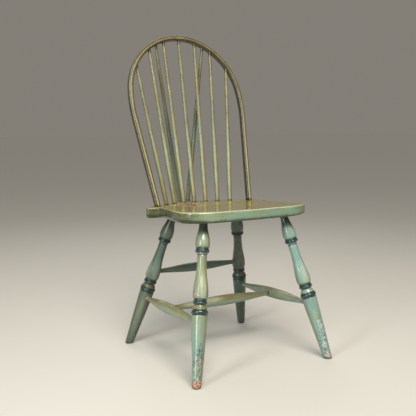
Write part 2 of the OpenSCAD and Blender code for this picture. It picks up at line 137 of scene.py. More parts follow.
class Bench:
    """A shader or geometry tree with short calls that add nodes and join them."""

    def __init__(self, tree: NodeTree) -> None:
        """Keep the tree that nodes are added to."""
        self.tree = tree

    def add(self, kind: str, inputs: dict[str | int, Any] | None = None, **settings: Any) -> Node:
        """Add a node.

        Args:
            kind: the node's type name.
            inputs: a value or socket for each input that isn't left as it is, by name or number.
            **settings: properties of the node to set.

        Returns:
            The new node.
        """
        node = self.tree.nodes.new(kind)
        for name, value in settings.items():
            setattr(node, name, value)
        for label, value in (inputs or {}).items():
            self.feed(node.inputs[label], value)
        return node

    def feed(self, socket: NodeSocket, value: Any) -> None:
        """Give an input its value.

        Args:
            socket: the input.
            value: an output to link to it, or the constant to set on it.
        """
        if isinstance(value, NodeSocket):
            self.tree.links.new(value, socket)
        else:
            socket.default_value = value

    def math(self, operation: str, a: Any, b: Any, clamp: bool) -> NodeSocket:
        """Work out two values with a Math node and return the result's socket."""
        return self.add("ShaderNodeMath", {0: a, 1: b}, operation=operation, use_clamp=clamp).outputs[0]

    def plus(self, a: Any, b: Any, clamp: bool = False) -> NodeSocket:
        """Add two values, kept from 0 to 1 if clamp is set."""
        return self.math("ADD", a, b, clamp)

    def minus(self, a: Any, b: Any, clamp: bool = False) -> NodeSocket:
        """Take b from a, kept from 0 to 1 if clamp is set."""
        return self.math("SUBTRACT", a, b, clamp)

    def times(self, a: Any, b: Any, clamp: bool = False) -> NodeSocket:
        """Multiply two values, kept from 0 to 1 if clamp is set."""
        return self.math("MULTIPLY", a, b, clamp)

    def mixed(self, base: Any, value: Any, share: float, clamp: bool = False) -> NodeSocket:
        """Return a base plus a share of a value."""
        return self.plus(base, self.times(value, share), clamp)

    def stirred(self, base: Any, noise: Any, swing: float) -> NodeSocket:
        """Return a base that a noise moves up and down by half a swing each way."""
        return self.plus(base, self.times(self.minus(noise, 0.5), swing))

    def smooth(self, value: Any, low: float, high: float) -> NodeSocket:
        """Turn a value into a soft mask that is 0 at low and 1 at high, and return its socket."""
        limits = {"Value": value, "From Min": low, "From Max": high}
        return self.add("ShaderNodeMapRange", limits, interpolation_type="SMOOTHSTEP").outputs[0]

    def blend(self, share: Any, a: Any, b: Any, kind: str = "MIX") -> NodeSocket:
        """Blend two colours by the share of the second one and return the colour's socket."""
        colours = {0: share, 6: a, 7: b}
        return self.add("ShaderNodeMix", colours, data_type="RGBA", blend_type=kind).outputs[2]

    def grey(self, value: Any) -> NodeSocket:
        """Turn a value into a grey colour and return its socket."""
        channels = {"Red": value, "Green": value, "Blue": value}
        return self.add("ShaderNodeCombineColor", channels).outputs[0]

    def noise(self, vector: Any, scale: Any, detail: float = 4.0, rough: float = 0.55) -> NodeSocket:
        """Add a noise texture with that many cells in a metre and return its value's socket."""
        inputs = {"Vector": vector, "Scale": scale, "Detail": detail, "Roughness": rough}
        return self.add("ShaderNodeTexNoise", inputs).outputs["Fac"]

    def scaled(self, vector: Any, factors: Triple) -> NodeSocket:
        """Stretch a vector by a factor along each axis and return its socket."""
        return self.add("ShaderNodeMapping", {"Vector": vector, "Scale": factors}).outputs[0]

    def stored(self, name: str, output: str = "Fac") -> NodeSocket:
        """Read a point attribute in a material and return the socket of one of its outputs."""
        return self.add("ShaderNodeAttribute", attribute_name=name).outputs[output]

    def shown(self) -> NodeSocket:
        """Return a mask of the rays that show a surface: straight, mirrored or through glass."""
        path = self.add("ShaderNodeLightPath").outputs
        seen = self.plus(path["Is Camera Ray"], path["Is Glossy Ray"])
        return self.plus(seen, path["Is Transmission Ray"], clamp=True)

    def drawn(self, low: Triple, high: Triple) -> NodeSocket:
        """Draw a random vector between two others for each point and return its socket."""
        limits = {"Min": low, "Max": high}
        return self.add("FunctionNodeRandomValue", limits, data_type="FLOAT_VECTOR").outputs[0]

    def close(self, geometry: NodeSocket, finish: NodeSocket, way_out: NodeSocket) -> None:
        """End a geometry tree: realize the instances and set the material.

        Args:
            geometry: what the tree has made.
            finish: the socket of the material.
            way_out: the tree's output.
        """
        real = self.add("GeometryNodeRealizeInstances", {"Geometry": geometry})
        dressed = {"Geometry": real.outputs[0], "Material": finish}
        self.feed(way_out, self.add("GeometryNodeSetMaterial", dressed).outputs[0])


class NodeGroup:
    """A node tree with named inputs and outputs: a materials' group or a modifier's geometry tree."""

    def __init__(self, name: str, inputs: dict[str, Socket], outputs: dict[str, Socket],
                 kind: str = "ShaderNodeTree") -> None:
        """Make the empty tree.

        Args:
            name: its name.
            inputs: each input's type.
            outputs: each output's type.
            kind: the tree's own type name.
        """
        self.tree = bpy.data.node_groups.new(name, kind)
        for way, sockets in (("INPUT", inputs), ("OUTPUT", outputs)):
            for label, sort in sockets.items():
                self.tree.interface.new_socket(label, in_out=way, socket_type=sort.value)
        self.bench = Bench(self.tree)
        self.entry = self.bench.add("NodeGroupInput").outputs
        self.exit = self.bench.add("NodeGroupOutput").inputs

    def place(self, bench: Bench, **values: Any) -> bpy.types.NodeOutputs:
        """Put the group in a material, with a value for each input, and return its outputs."""
        return bench.add("ShaderNodeGroup", values, node_tree=self.tree).outputs


def brush_group() -> NodeGroup:
    """Build the brush strokes: long soft streaks along a piece, with a fine tooth over them.

    Returns:
        The group, with Streak and Height from 0 to 1.
    """
    group = NodeGroup(
        "brush_strokes",
        {"Vector": Socket.VECTOR, "Fineness": Socket.NUMBER},
        {"Streak": Socket.NUMBER, "Height": Socket.NUMBER},
    )
    b, source = group.bench, group.entry
    drawn_out, tooth_fineness, streak_share, tooth_share = 0.08, 4.0, 0.7, 0.3
    along = b.scaled(source["Vector"], (1.0, 1.0, drawn_out))
    streak = b.noise(along, source["Fineness"], detail=5.0, rough=0.6)
    finer = b.times(source["Fineness"], tooth_fineness)
    tooth = b.noise(source["Vector"], finer, detail=2.0, rough=0.5)
    b.feed(group.exit["Streak"], b.smooth(streak, 0.3, 0.7))
    b.feed(group.exit["Height"], b.mixed(b.times(streak, streak_share), tooth, tooth_share))
    return group


def loss_group() -> NodeGroup:
    """Build the broken edge of lost paint around a painted amount.

    Returns:
        The group, with Mask where the paint is gone, Rim around it and Height of the paint.
    """
    group = NodeGroup(
        "paint_loss",
        {"Vector": Socket.VECTOR, "Amount": Socket.NUMBER, "Grain": Socket.NUMBER},
        {"Mask": Socket.NUMBER, "Rim": Socket.NUMBER, "Height": Socket.NUMBER},
    )
    b, source = group.bench, group.entry
    raggedness = 1.5
    ragged = b.noise(source["Vector"], source["Grain"], detail=6.0, rough=0.68)
    level = b.stirred(source["Amount"], ragged, raggedness)
    present = b.smooth(source["Amount"], 0.02, 0.12)
    mask = b.times(b.smooth(level, 0.5, 0.6), present)
    rim = b.times(b.smooth(level, 0.36, 0.48), present)
    b.feed(group.exit["Mask"], mask)
    b.feed(group.exit["Rim"], b.minus(rim, mask, clamp=True))
    b.feed(group.exit["Height"], b.minus(1.0, mask))
    return group


def speck_group() -> NodeGroup:
    """Build small scattered specks whose number grows with an amount.

    Returns:
        The group, with Mask on the specks.
    """
    group = NodeGroup(
        "specks",
        {"Vector": Socket.VECTOR, "Amount": Socket.NUMBER, "Size": Socket.NUMBER},
        {"Mask": Socket.NUMBER},
    )
    b, source = group.bench, group.entry
    no_specks, fall, edge = 0.72, 0.2, 0.04
    dots = b.noise(source["Vector"], source["Size"], detail=3.0, rough=0.75)
    cut = b.minus(no_specks, b.times(source["Amount"], fall))
    b.feed(group.exit["Mask"], b.smooth(b.minus(dots, cut), 0.0, edge))
    return group


def crackle_group() -> NodeGroup:
    """Build the fine cracks of an aged glaze, which come and go in patches.

    Returns:
        The group, with Mask on the cracks.
    """
    group = NodeGroup(
        "glaze_cracks",
        {"Vector": Socket.VECTOR, "Size": Socket.NUMBER, "Spread": Socket.NUMBER},
        {"Mask": Socket.NUMBER},
    )
    b, source = group.bench, group.entry
    drawn_out, line_width, patch_cells, spread_share = 0.3, 0.13, 70.0, 0.3
    long_cells = {"Vector": b.scaled(source["Vector"], (1.0, 1.0, drawn_out)), "Scale": source["Size"]}
    cells = b.add("ShaderNodeTexVoronoi", long_cells, feature="DISTANCE_TO_EDGE")
    line = b.minus(1.0, b.smooth(cells.outputs["Distance"], 0.0, line_width))
    clouds = b.noise(source["Vector"], patch_cells, detail=4.0, rough=0.6)
    patch = b.mixed(clouds, source["Spread"], spread_share)
    b.feed(group.exit["Mask"], b.times(line, b.smooth(patch, 0.55, 0.72)))
    return group


BRUSH = brush_group()
LOSS = loss_group()
SPECKS = speck_group()
CRACKS = crackle_group()


# ---------------------------------------------------------------- finishes


def blank_material(name: str) -> tuple[Material, Bench, bpy.types.NodeInputs]:
    """Make a material of one shader whose inputs are still to be fed.

    Args:
        name: the material's name.

    Returns:
        The material, its bench and the shader's inputs.
    """
    made = bpy.data.materials.new(name)
    made.use_nodes = True
    made.node_tree.nodes.clear()
    bench = Bench(made.node_tree)
    shader = bench.add("ShaderNodeBsdfPrincipled")
    bench.add("ShaderNodeOutputMaterial", {"Surface": shader.outputs[0]})
    return made, bench, shader.inputs


@dataclass(frozen=True)
class GlazedPaint:
    """A green paint under an olive glaze with a satin lacquer, with dark lines and worn spots, and with
    painted shade and painted highlights where a piece asks for them.

    Colours are written as RRGGBB. The fields on clouds, mottle, pools, cracks, specks, loss and
    fineness give texture cells in a metre, the ones on cover how much of the paint a mark hides, and
    bump_height is in millimetres.
    """

    name: str
    paint: str = "94A07F"
    cool: str = "86A192"
    glaze: str = "8A8250"
    deep_glaze: str = "756A3C"
    pale: str = "CBCDAA"
    band: str = "1D3C3C"
    # colour of soiling and cracks, and of painted shade
    dirt_and_shade: str = "1E241C"
    speck: str = "2E3940"
    scuff: str = "D3DBD8"
    primer: str = "D9A083"
    wood: str = "CB7D50"
    cloud_cells: float = 14.0
    mottle_cells: float = 60.0
    pool_cells: float = 24.0
    crack_cells: float = 190.0
    speck_cells: float = 210.0
    loss_cells: float = 210.0
    fineness: float = 260.0
    glaze_all: float = 0.12
    crack_cover: float = 0.5
    dirt_and_shade_cover: float = 0.9
    speck_cover: float = 0.85
    roughness: float = 0.36
    mottle_roughness: float = 0.2
    bare_roughness: float = 0.3
    scuff_roughness: float = 0.15
    specular: float = 0.5
    coat: float = 0.75
    coat_loss: float = 0.9
    coat_roughness: float = 0.1
    brush_relief: float = 0.25
    crack_relief: float = 0.3
    bump_strength: float = 0.6
    bump_height: float = 0.35

    def glazed(self, b: Bench, place: NodeSocket, mottle: NodeSocket,
               amount: dict[Wear, NodeSocket]) -> NodeSocket:
        """Lay the glaze over the paint and lighten it where it is rubbed and where a highlight is
        painted.

        Args:
            b: the material's bench.
            place: the object's coordinates.
            mottle: a noise that breaks up the glaze.
            amount: the socket of each kind of wear.

        Returns:
            The colour's socket.
        """
        clouds = b.noise(place, self.cloud_cells, detail=3.0)
        colour = b.blend(b.smooth(clouds, 0.35, 0.65), tone(self.paint), tone(self.cool))
        cover = b.plus(amount[Wear.GLAZE], self.glaze_all)
        cover = b.times(cover, b.mixed(0.7, mottle, 0.6), clamp=True)
        pooled = b.smooth(b.noise(place, self.pool_cells, detail=5.0, rough=0.62), 0.42, 0.66)
        colour = b.blend(cover, colour, b.blend(pooled, tone(self.glaze), tone(self.deep_glaze)))
        # Lighter where the paint is rubbed, and where a painted highlight lies.
        rubbed = b.times(amount[Wear.PALE], b.mixed(0.6, mottle, 0.8), clamp=True)
        return b.blend(rubbed, colour, tone(self.pale))

    def material(self) -> Material:
        """Build the paint as a material.

        Returns:
            The material.
        """
        made, b, shader = blank_material(self.name)
        place = b.add("ShaderNodeTexCoord").outputs["Object"]
        grain = b.stored("grain", "Vector")
        amount = {wear: b.stored(wear.value) for wear in Wear}
        mottle = b.noise(place, self.mottle_cells, detail=5.0, rough=0.65)
        brush = BRUSH.place(b, Vector=grain, Fineness=self.fineness)
        cracks = CRACKS.place(b, Vector=grain, Size=self.crack_cells, Spread=amount[Wear.GRIME])
        lost = LOSS.place(b, Vector=place, Amount=amount[Wear.BARE], Grain=self.loss_cells)
        long_marks, finer = b.scaled(grain, (1.0, 1.0, 0.4)), self.speck_cells * 1.15
        scuffs = SPECKS.place(b, Vector=long_marks, Amount=amount[Wear.SCUFF], Size=finer)
        specks = SPECKS.place(b, Vector=place, Amount=amount[Wear.SPECK], Size=self.speck_cells)
        cracked, scuffed, specked = cracks["Mask"], scuffs["Mask"], specks["Mask"]

        colour = self.glazed(b, place, mottle, amount)
        colour = b.blend(1.0, colour, b.grey(b.mixed(0.86, brush["Streak"], 0.24)), "MULTIPLY")
        banded = b.smooth(b.mixed(amount[Wear.BAND], mottle, 0.2), 0.45, 0.7)
        colour = b.blend(banded, colour, tone(self.band))
        # Darken towards that colour: soiling, and painted shade under the plank, on undersides and on
        # sides turned from the light.
        soiled_and_shaded = b.smooth(b.stirred(amount[Wear.GRIME], mottle, 0.5), 0.12, 0.85)
        colour = b.blend(b.times(soiled_and_shaded, self.dirt_and_shade_cover), colour, tone(self.dirt_and_shade))
        colour = b.blend(b.times(cracked, self.crack_cover), colour, tone(self.dirt_and_shade))
        colour = b.blend(lost["Rim"], colour, tone(self.primer))
        timber = b.blend(b.times(brush["Streak"], 0.5), tone(self.wood), tone(self.primer))
        colour = b.blend(lost["Mask"], colour, timber)
        colour = b.blend(b.times(scuffed, self.speck_cover), colour, tone(self.scuff))
        colour = b.blend(b.times(specked, self.speck_cover), colour, tone(self.speck))

        rough = b.stirred(self.roughness, mottle, self.mottle_roughness)
        rough = b.mixed(rough, lost["Mask"], self.bare_roughness)
        rough = b.mixed(rough, scuffed, self.scuff_roughness, clamp=True)
        relief = b.plus(b.times(brush["Height"], self.brush_relief), lost["Height"])
        relief = b.minus(relief, b.times(cracked, self.crack_relief))
        bump = {"Strength": self.bump_strength, "Distance": self.bump_height * MM, "Height": relief}
        kept = b.minus(1.0, b.times(b.plus(lost["Mask"], lost["Rim"]), self.coat_loss))

        b.feed(shader["Base Color"], colour)
        b.feed(shader["Roughness"], rough)
        b.feed(shader["Normal"], b.add("ShaderNodeBump", bump).outputs[0])
        b.feed(shader["Coat Weight"], b.times(kept, self.coat, clamp=True))
        shader["Coat Roughness"].default_value = self.coat_roughness
        shader["Specular IOR Level"].default_value = self.specular
        return made


@dataclass(frozen=True)
class TarnishedSteel:
    """Dark steel of the glides, dulled and lightly rusted."""

    name: str = "tarnished_steel"
    steel: str = "4A4640"
    rust: str = "4B2E1E"
    stain_cells: float = 300.0
    roughness: float = 0.42
    rust_roughness: float = 0.35
    rust_dulling: float = 0.8

    def material(self) -> Material:
        """Build the steel as a material.

        Returns:
            The material.
        """
        made, b, shader = blank_material(self.name)
        place = b.add("ShaderNodeTexCoord").outputs["Object"]
        stain = b.smooth(b.noise(place, self.stain_cells, detail=5.0, rough=0.7), 0.45, 0.65)
        b.feed(shader["Base Color"], b.blend(stain, tone(self.steel), tone(self.rust)))
        b.feed(shader["Metallic"], b.minus(1.0, b.times(stain, self.rust_dulling)))
        b.feed(shader["Roughness"], b.mixed(self.roughness, stain, self.rust_roughness))
        return made


@dataclass(frozen=True)
class StudioPaper:
    """Plain pale paper of the floor and the backdrop, which throws back less light than it shows."""

    name: str = "studio_paper"
    colour: str = "D6D0C4"
    bounce: str = "8E8A82"
    roughness: float = 0.85
    specular: float = 0.15

    def material(self) -> Material:
        """Build the paper as a material.

        Returns:
            The material.
        """
        made, b, shader = blank_material(self.name)
        b.feed(shader["Base Color"], b.blend(b.shown(), tone(self.bounce), tone(self.colour)))
        shader["Roughness"].default_value = self.roughness
        shader["Specular IOR Level"].default_value = self.specular
        return made


# ---------------------------------------------------------------- shapes


def bezier(a: Any, b: Any, c: Any, d: Any, steps: int) -> Array:
    """Sample a cubic curve, without its last point.

    Args:
        a: start.
        b: first handle.
        c: second handle.
        d: end.
        steps: number of points.

    Returns:
        One point a row.
    """
    t = np.linspace(0, 1, steps, endpoint=False)[:, None]
    a, b, c, d = (np.asarray(p, float) for p in (a, b, c, d))
    s = 1 - t
    return s**3 * a + 3 * s * s * t * b + 3 * s * t * t * c + t**3 * d


def unit(v: Any) -> Array:
    """Return a vector of length 1 in the same direction."""
    v = np.asarray(v, float)
    return v / np.linalg.norm(v)


def vertices(mesh: Mesh) -> Array:
    """Read the vertices of a mesh.

    Args:
        mesh: the mesh.

    Returns:
        One vertex a row, in metres.
    """
    points = np.zeros(len(mesh.vertices) * 3)
    mesh.vertices.foreach_get("co", points)
    return points.reshape(-1, 3)


def node_points(node: str) -> Array:
    """Read the vertices of a frame node, in metres, one a row."""
    return vertices(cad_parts[node].data)


def end_disc(points: Array, direction: Array, reach: float) -> Array:
    """Find the middle of the flat end of a node.

    Args:
        points: the node's vertices.
        direction: roughly out of that end.
        reach: how far back from the end a vertex still counts, in metres.

    Returns:
        The middle of the end's rim.
    """
    far = points @ direction
    rim = np.unique(points[far > far.max() - reach].round(6), axis=0)
    return (rim.min(0) + rim.max(0)) / 2


@dataclass
class Axis:
    """The axis of a turned piece in the frame, in metres."""

    start: Array
    end: Array

    @property
    def length(self) -> float:
        """Length in millimetres."""
        return float(np.linalg.norm(self.end - self.start)) / MM

    @property
    def direction(self) -> Array:
        """Direction from start to end."""
        return unit(self.end - self.start)

    @classmethod
    def of_node(cls, node: str, start: Array | None = None) -> "Axis":
        """Read the axis of a turned frame node off the flat discs at its ends.

        The nearer the direction comes to the true one, the thinner the slice that holds a whole end.

        Args:
            node: the node's name.
            start: a known point on the axis, if one end isn't square to it.

        Returns:
            The axis, from the node's lower, left or rear end.
        """
        points = node_points(node)
        middle = points.mean(0)
        direction = np.linalg.svd(points - middle, full_matrices=False)[2][0]
        main = int(np.argmax(np.abs(direction)))
        direction = direction * np.sign(direction[main])
        for slice_depth in (4 * MM, 1 * MM, 0.2 * MM, 0.05 * MM, 0.02 * MM):
            top = end_disc(points, direction, slice_depth)
            low = end_disc(points, -direction, slice_depth) if start is None else start
            direction = unit(top - low)
        return cls(low, top)


class Turning:
    """Outline of a turned piece, as rows of radius, distance along the axis, band and darkening
    (soiling and painted shade).
    """

    BEAD_STEPS = 10
    BEAD_EDGE_DIRT_AND_SHADE = 0.75  # darker at the two edges of a bead: soiling and painted shade in the creases
    FADE = 3.2  # darkening at a curve's end has gone after 1 / FADE of its length

    def __init__(self) -> None:
        """Start with no rows."""
        self.rows: list[Row] = []

    def to(self, radius: float, height: float, band: float = 0.0, grime: float = 0.0) -> "Turning":
        """Add one row and return the outline."""
        self.rows.append((radius, height, band, grime))
        return self

    def curve(self, a: Any, b: Any, c: Any, d: Any, steps: int,
              grime: tuple[float, float] = (0, 0)) -> "Turning":
        """Add a cubic curve.

        Args:
            a: start, as radius and height.
            b: first handle.
            c: second handle.
            d: end.
            steps: number of rows.
            grime: how dark the start and the end are, as soiling and painted shade, fading out towards
                the middle.

        Returns:
            The outline.
        """
        for i, (radius, height) in enumerate(bezier(a, b, c, d, steps)):
            share = self.FADE * (i / steps)
            dirt_and_shade = max(grime[0] * (1 - share), grime[1] * (share - (self.FADE - 1)), 0.0)
            self.to(radius, height, 0.0, dirt_and_shade)
        return self

    def bead(self, middle: float, height: float, low: float, high: float) -> "Turning":
        """Add a half-round bead, painted as a band.

        Args:
            middle: height of its middle.
            height: its own height.
            low: radius at its two edges.
            high: radius at its middle.

        Returns:
            The outline.
        """
        for i in range(self.BEAD_STEPS + 1):
            a = math.pi * i / self.BEAD_STEPS
            dirt_and_shade = self.BEAD_EDGE_DIRT_AND_SHADE * abs(math.cos(a)) ** 4
            self.to(low + (high - low) * math.sin(a), middle - height / 2 * math.cos(a), 1.0, dirt_and_shade)
        return self


def linked(name: str, data: Any) -> Object:
    """Make an object of a mesh, a lamp or a camera.

    Args:
        name: its name.
        data: what it shows.

    Returns:
        The object, linked to the scene.
    """
    made = bpy.data.objects.new(name, data)
    bpy.context.scene.collection.objects.link(made)
    return made


def settle(maker: Object, name: str) -> Object:
    """Turn an object's live modifiers into a plain mesh of its own.

    Args:
        maker: the object, which is removed.
        name: name of the new object.

    Returns:
        The plain object, linked to the scene.
    """
    bpy.context.view_layer.update()
    evaluated = maker.evaluated_get(bpy.context.evaluated_depsgraph_get())
    mesh = bpy.data.meshes.new_from_object(evaluated)
    mesh.name = name
    bpy.data.objects.remove(maker)
    return linked(name, mesh)


def run_tree(maker: Object, tree: NodeTree, values: dict[str, Any], name: str) -> Object:
    """Run a geometry tree on an object and keep the result as a plain mesh.

    Args:
        maker: the object that the tree starts from.
        tree: the tree.
        values: a value for each named input.
        name: name of the finished object.

    Returns:
        The finished object.
    """
    modifier = maker.modifiers.new("shape", "NODES")
    modifier.node_group = tree
    for item in tree.interface.items_tree:
        if item.item_type == "SOCKET" and item.in_out == "INPUT" and item.name in values:
            modifier[item.identifier] = values[item.name]
    return settle(maker, name)


def add_object(name: str, points: Array, faces: Any, edges: Any = ()) -> Object:
    """Link a new mesh object.

    Args:
        name: its name.
        points: vertices in metres.
        faces: vertex numbers of each face.
        edges: vertex numbers of each loose edge.

    Returns:
        The object.
    """
    mesh = bpy.data.meshes.new(name)
    mesh.from_pydata([tuple(p) for p in points], list(edges), [tuple(f) for f in faces])
    mesh.update()
    return linked(name, mesh)


def ring_faces(rows: int, count: int) -> list[tuple[int, ...]]:
    """Join rings of points into a closed skin.

    Args:
        rows: number of rings.
        count: points in a ring.

    Returns:
        The vertex numbers of each face: those between the rings and the two that close the ends.
    """
    faces = []
    for r in range(rows - 1):
        for i in range(count):
            a, b = r * count + i, r * count + (i + 1) % count
            faces.append((a, b, b + count, a + count))
    faces.append(tuple(range(count))[::-1])
    faces.append(tuple(range((rows - 1) * count, rows * count)))
    return faces


def put(mesh: Mesh, name: str, values: Array) -> None:
    """Store a point attribute.

    Args:
        mesh: the mesh.
        name: the attribute's name.
        values: a number or a vector for each vertex.
    """
    kind = "FLOAT" if values.ndim == 1 else "FLOAT_VECTOR"
    attribute = mesh.attributes.get(name) or mesh.attributes.new(name, kind, "POINT")
    key = "value" if values.ndim == 1 else "vector"
    attribute.data.foreach_set(key, np.ascontiguousarray(values, np.float32).ravel())


def put_wear(mesh: Mesh, amounts: dict[Wear, Array]) -> None:
    """Store the amounts of wear on a mesh, for each kind that is given."""
    for wear, values in amounts.items():
        put(mesh, wear.value, values)


def read(mesh: Mesh, name: str) -> Array:
    """Read a point attribute.

    Args:
        mesh: the mesh.
        name: the attribute's name.

    Returns:
        One number for each vertex, 0 where the mesh doesn't have the attribute.
    """
    values = np.zeros(len(mesh.vertices), np.float32)
    if mesh.attributes.get(name) is not None:
        mesh.attributes[name].data.foreach_get("value", values)
    return values


def ramp(values: Array, low: float, high: float) -> Array:
    """Turn values into soft masks that are 0 at low and 1 at high."""
    t = np.clip((values - low) / (high - low), 0, 1)
    return t * t * (3 - 2 * t)


def dress(made: Object, node: str, material: Material) -> Object:
    """Hand a finished piece to the frame.

    Args:
        made: the piece.
        node: the frame node that it stands for.
        material: its finish.

    Returns:
        The piece.
    """
    made.data.materials.clear()
    made.data.materials.append(material)
    for polygon in made.data.polygons:
        polygon.use_smooth = True
    for wear in Wear:
        if made.data.attributes.get(wear.value) is None:
            put(made.data, wear.value, np.zeros(len(made.data.vertices)))
    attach(made, ROOT)
    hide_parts(node)
    LOG.info("%s stands for %s with %d faces", made.name, node, len(made.data.polygons))
    return made


def turning_tree() -> NodeTree:
    """Build the geometry tree that turns a line of points into a round piece.

    Returns:
        The tree, with the inputs Geometry, Around, Unevenness, Seed and Finish.
    """
    wobble_cells, wobble_detail = 22.0, 2.0
    group = NodeGroup(
        "turned_piece",
        {"Geometry": Socket.GEOMETRY, "Around": Socket.COUNT, "Unevenness": Socket.NUMBER,
         "Seed": Socket.NUMBER, "Finish": Socket.MATERIAL},
        {"Geometry": Socket.GEOMETRY},
        "GeometryNodeTree",
    )
    b, source = group.bench, group.entry
    line = b.add("GeometryNodeMeshToCurve", {"Mesh": source["Geometry"]})
    radius = b.add("GeometryNodeInputNamedAttribute", {"Name": "radius"}, data_type="FLOAT")
    circle = b.add("GeometryNodeCurvePrimitiveCircle", {"Resolution": source["Around"], "Radius": 1.0})
    sweep = b.add("GeometryNodeCurveToMesh", {
        "Curve": line.outputs[0],
        "Profile Curve": circle.outputs["Curve"],
        "Scale": radius.outputs["Attribute"],
        "Fill Caps": True,
    })
    wobble = b.add("ShaderNodeTexNoise", {
        "W": source["Seed"],
        "Scale": wobble_cells,
        "Detail": wobble_detail,
    }, noise_dimensions="4D")
    push = b.times(b.minus(wobble.outputs["Fac"], 0.5), source["Unevenness"])
    outward = b.add("ShaderNodeVectorMath", {
        "Vector": b.add("GeometryNodeInputNormal").outputs[0],
        "Scale": push,
    }, operation="SCALE")
    ways = {"Geometry": sweep.outputs[0], "Offset": outward.outputs[0]}
    moved = b.add("GeometryNodeSetPosition", ways)
    b.close(moved.outputs[0], source["Finish"], group.exit["Geometry"])
    return group.tree


TURNED = turning_tree()


@dataclass(frozen=True)
class Spot:
    """A worn place on a turned piece, or a place of painted shade or painted highlight.

    height is its distance along the axis in millimetres and facing its direction in degrees: 0 to the
    chair's front and 90 to its +X side, or on a lying piece 0 up and 90 to the chair's left or rear.
    tall and wide are its half sizes in millimetres.
    """

    wear: Wear
    height: float
    facing: float
    tall: float
    wide: float
    amount: float = 1.0

    def mask(self, height: Array, facing: Array, radius: Array) -> Array:
        """Work out how much of the spot falls on some places.

        Args:
            height: each place's distance along the axis, in millimetres.
            facing: its direction, in degrees.
            radius: its distance from the axis, in millimetres.

        Returns:
            An amount for each place.
        """
        turn = (facing - self.facing + 180) % 360 - 180
        across = np.radians(turn) * np.maximum(radius, 1)
        far = np.hypot((height - self.height) / self.tall, across / self.wide)
        return self.amount * (1 - ramp(far, 0.55, 1.25))


@dataclass
class TurnedPiece:
    """A piece turned between two points of the frame.

    olive_side is the direction that its glaze faces, in degrees, and floor the height in millimetres
    that its foot is cut at.
    """

    node: str
    slot: Slot
    axis: Axis
    outline: Turning
    material: Material
    around: int = 56
    unevenness: float = 0.35
    seed: float = 0.0
    spots: tuple[Spot, ...] = ()
    olive_side: float | None = None
    olive_amount: float = 0.6
    floor: float | None = None
    bevel: float = 1.4
    lying: bool = False
    grain_side: Triple = (0.31, 0.95, 0.05)
    grain_shift: float = 0.37

    def line(self) -> Object:
        """Lay the outline out as points on the axis.

        Returns:
            A line of points that carry their radius and wear.
        """
        rows = np.array(self.outline.rows)
        points = self.axis.start + np.outer(rows[:, 1] * MM, self.axis.direction)
        maker = add_object(self.node + "_line", points, (), [(i, i + 1) for i in range(len(rows) - 1)])
        put(maker.data, "radius", rows[:, 0] * MM)
        put(maker.data, "along", rows[:, 1])
        put(maker.data, Wear.BAND.value, rows[:, 2])
        put(maker.data, Wear.GRIME.value, rows[:, 3])
        return maker

    def build(self) -> Object:
        """Turn the piece, wear it and hand it to the frame.

        Returns:
            The finished piece.
        """
        values = {
            "Around": self.around,
            "Unevenness": self.unevenness * MM,
            "Seed": self.seed,
            "Finish": self.material,
        }
        made = run_tree(self.line(), TURNED, values, "painted_" + self.node)
        if self.floor is not None:
            self.cut_level(made.data)
        self.wear(made.data)
        return dress(made, self.node, self.material)

    def cut_level(self, mesh: Mesh) -> None:
        """Slide the rows below 0 along the axis onto the level cut of the foot and its small bevel.

        Args:
            mesh: the turned mesh.
        """
        points = vertices(mesh)
        along = read(mesh, "along")
        direction = self.axis.direction
        for i, row in enumerate(np.unique(along[along < 0])):
            ring = np.abs(along - row) < 1e-4
            level = (self.floor + self.bevel * i) * MM
            points[ring] += np.outer((level - points[ring, 2]) / direction[2], direction)
        mesh.vertices.foreach_set("co", points.ravel())
        mesh.update()

    def wear(self, mesh: Mesh) -> None:
        """Store the coordinates along the piece and the amounts of wear, painted shade and highlight on
        its vertices.

        Args:
            mesh: the turned mesh.
        """
        offset = vertices(mesh) - self.axis.start
        height = offset @ self.axis.direction
        radial = offset - np.outer(height, self.axis.direction)
        side = unit(np.cross(self.axis.direction, self.grain_side))
        other = np.cross(self.axis.direction, side)
        shift = self.grain_shift * self.seed
        put(mesh, "grain", np.stack([radial @ side, radial @ other, height + shift], 1))
        if self.lying:
            outside = unit(np.cross((0, 0, 1), self.axis.direction))
            upward = np.cross(self.axis.direction, outside)
            facing = np.degrees(np.arctan2(radial @ outside, radial @ upward))
        else:
            facing = np.degrees(np.arctan2(radial[:, 1], radial[:, 0])) - FRONT_AZIMUTH
        radius = np.linalg.norm(radial, axis=1) / MM
        amounts = {wear: read(mesh, wear.value).astype(float) for wear in Wear}
        for spot in self.spots:
            amounts[spot.wear] = np.maximum(amounts[spot.wear], spot.mask(height / MM, facing, radius))
        if self.olive_side is not None:
            turned = np.cos(np.radians(facing - self.olive_side))
            glaze = self.olive_amount * ramp(turned, 0.05, 0.95)
            amounts[Wear.GLAZE] = np.maximum(amounts[Wear.GLAZE], glaze)
        put_wear(mesh, amounts)


# ---------------------------------------------------------------- legs and stretchers


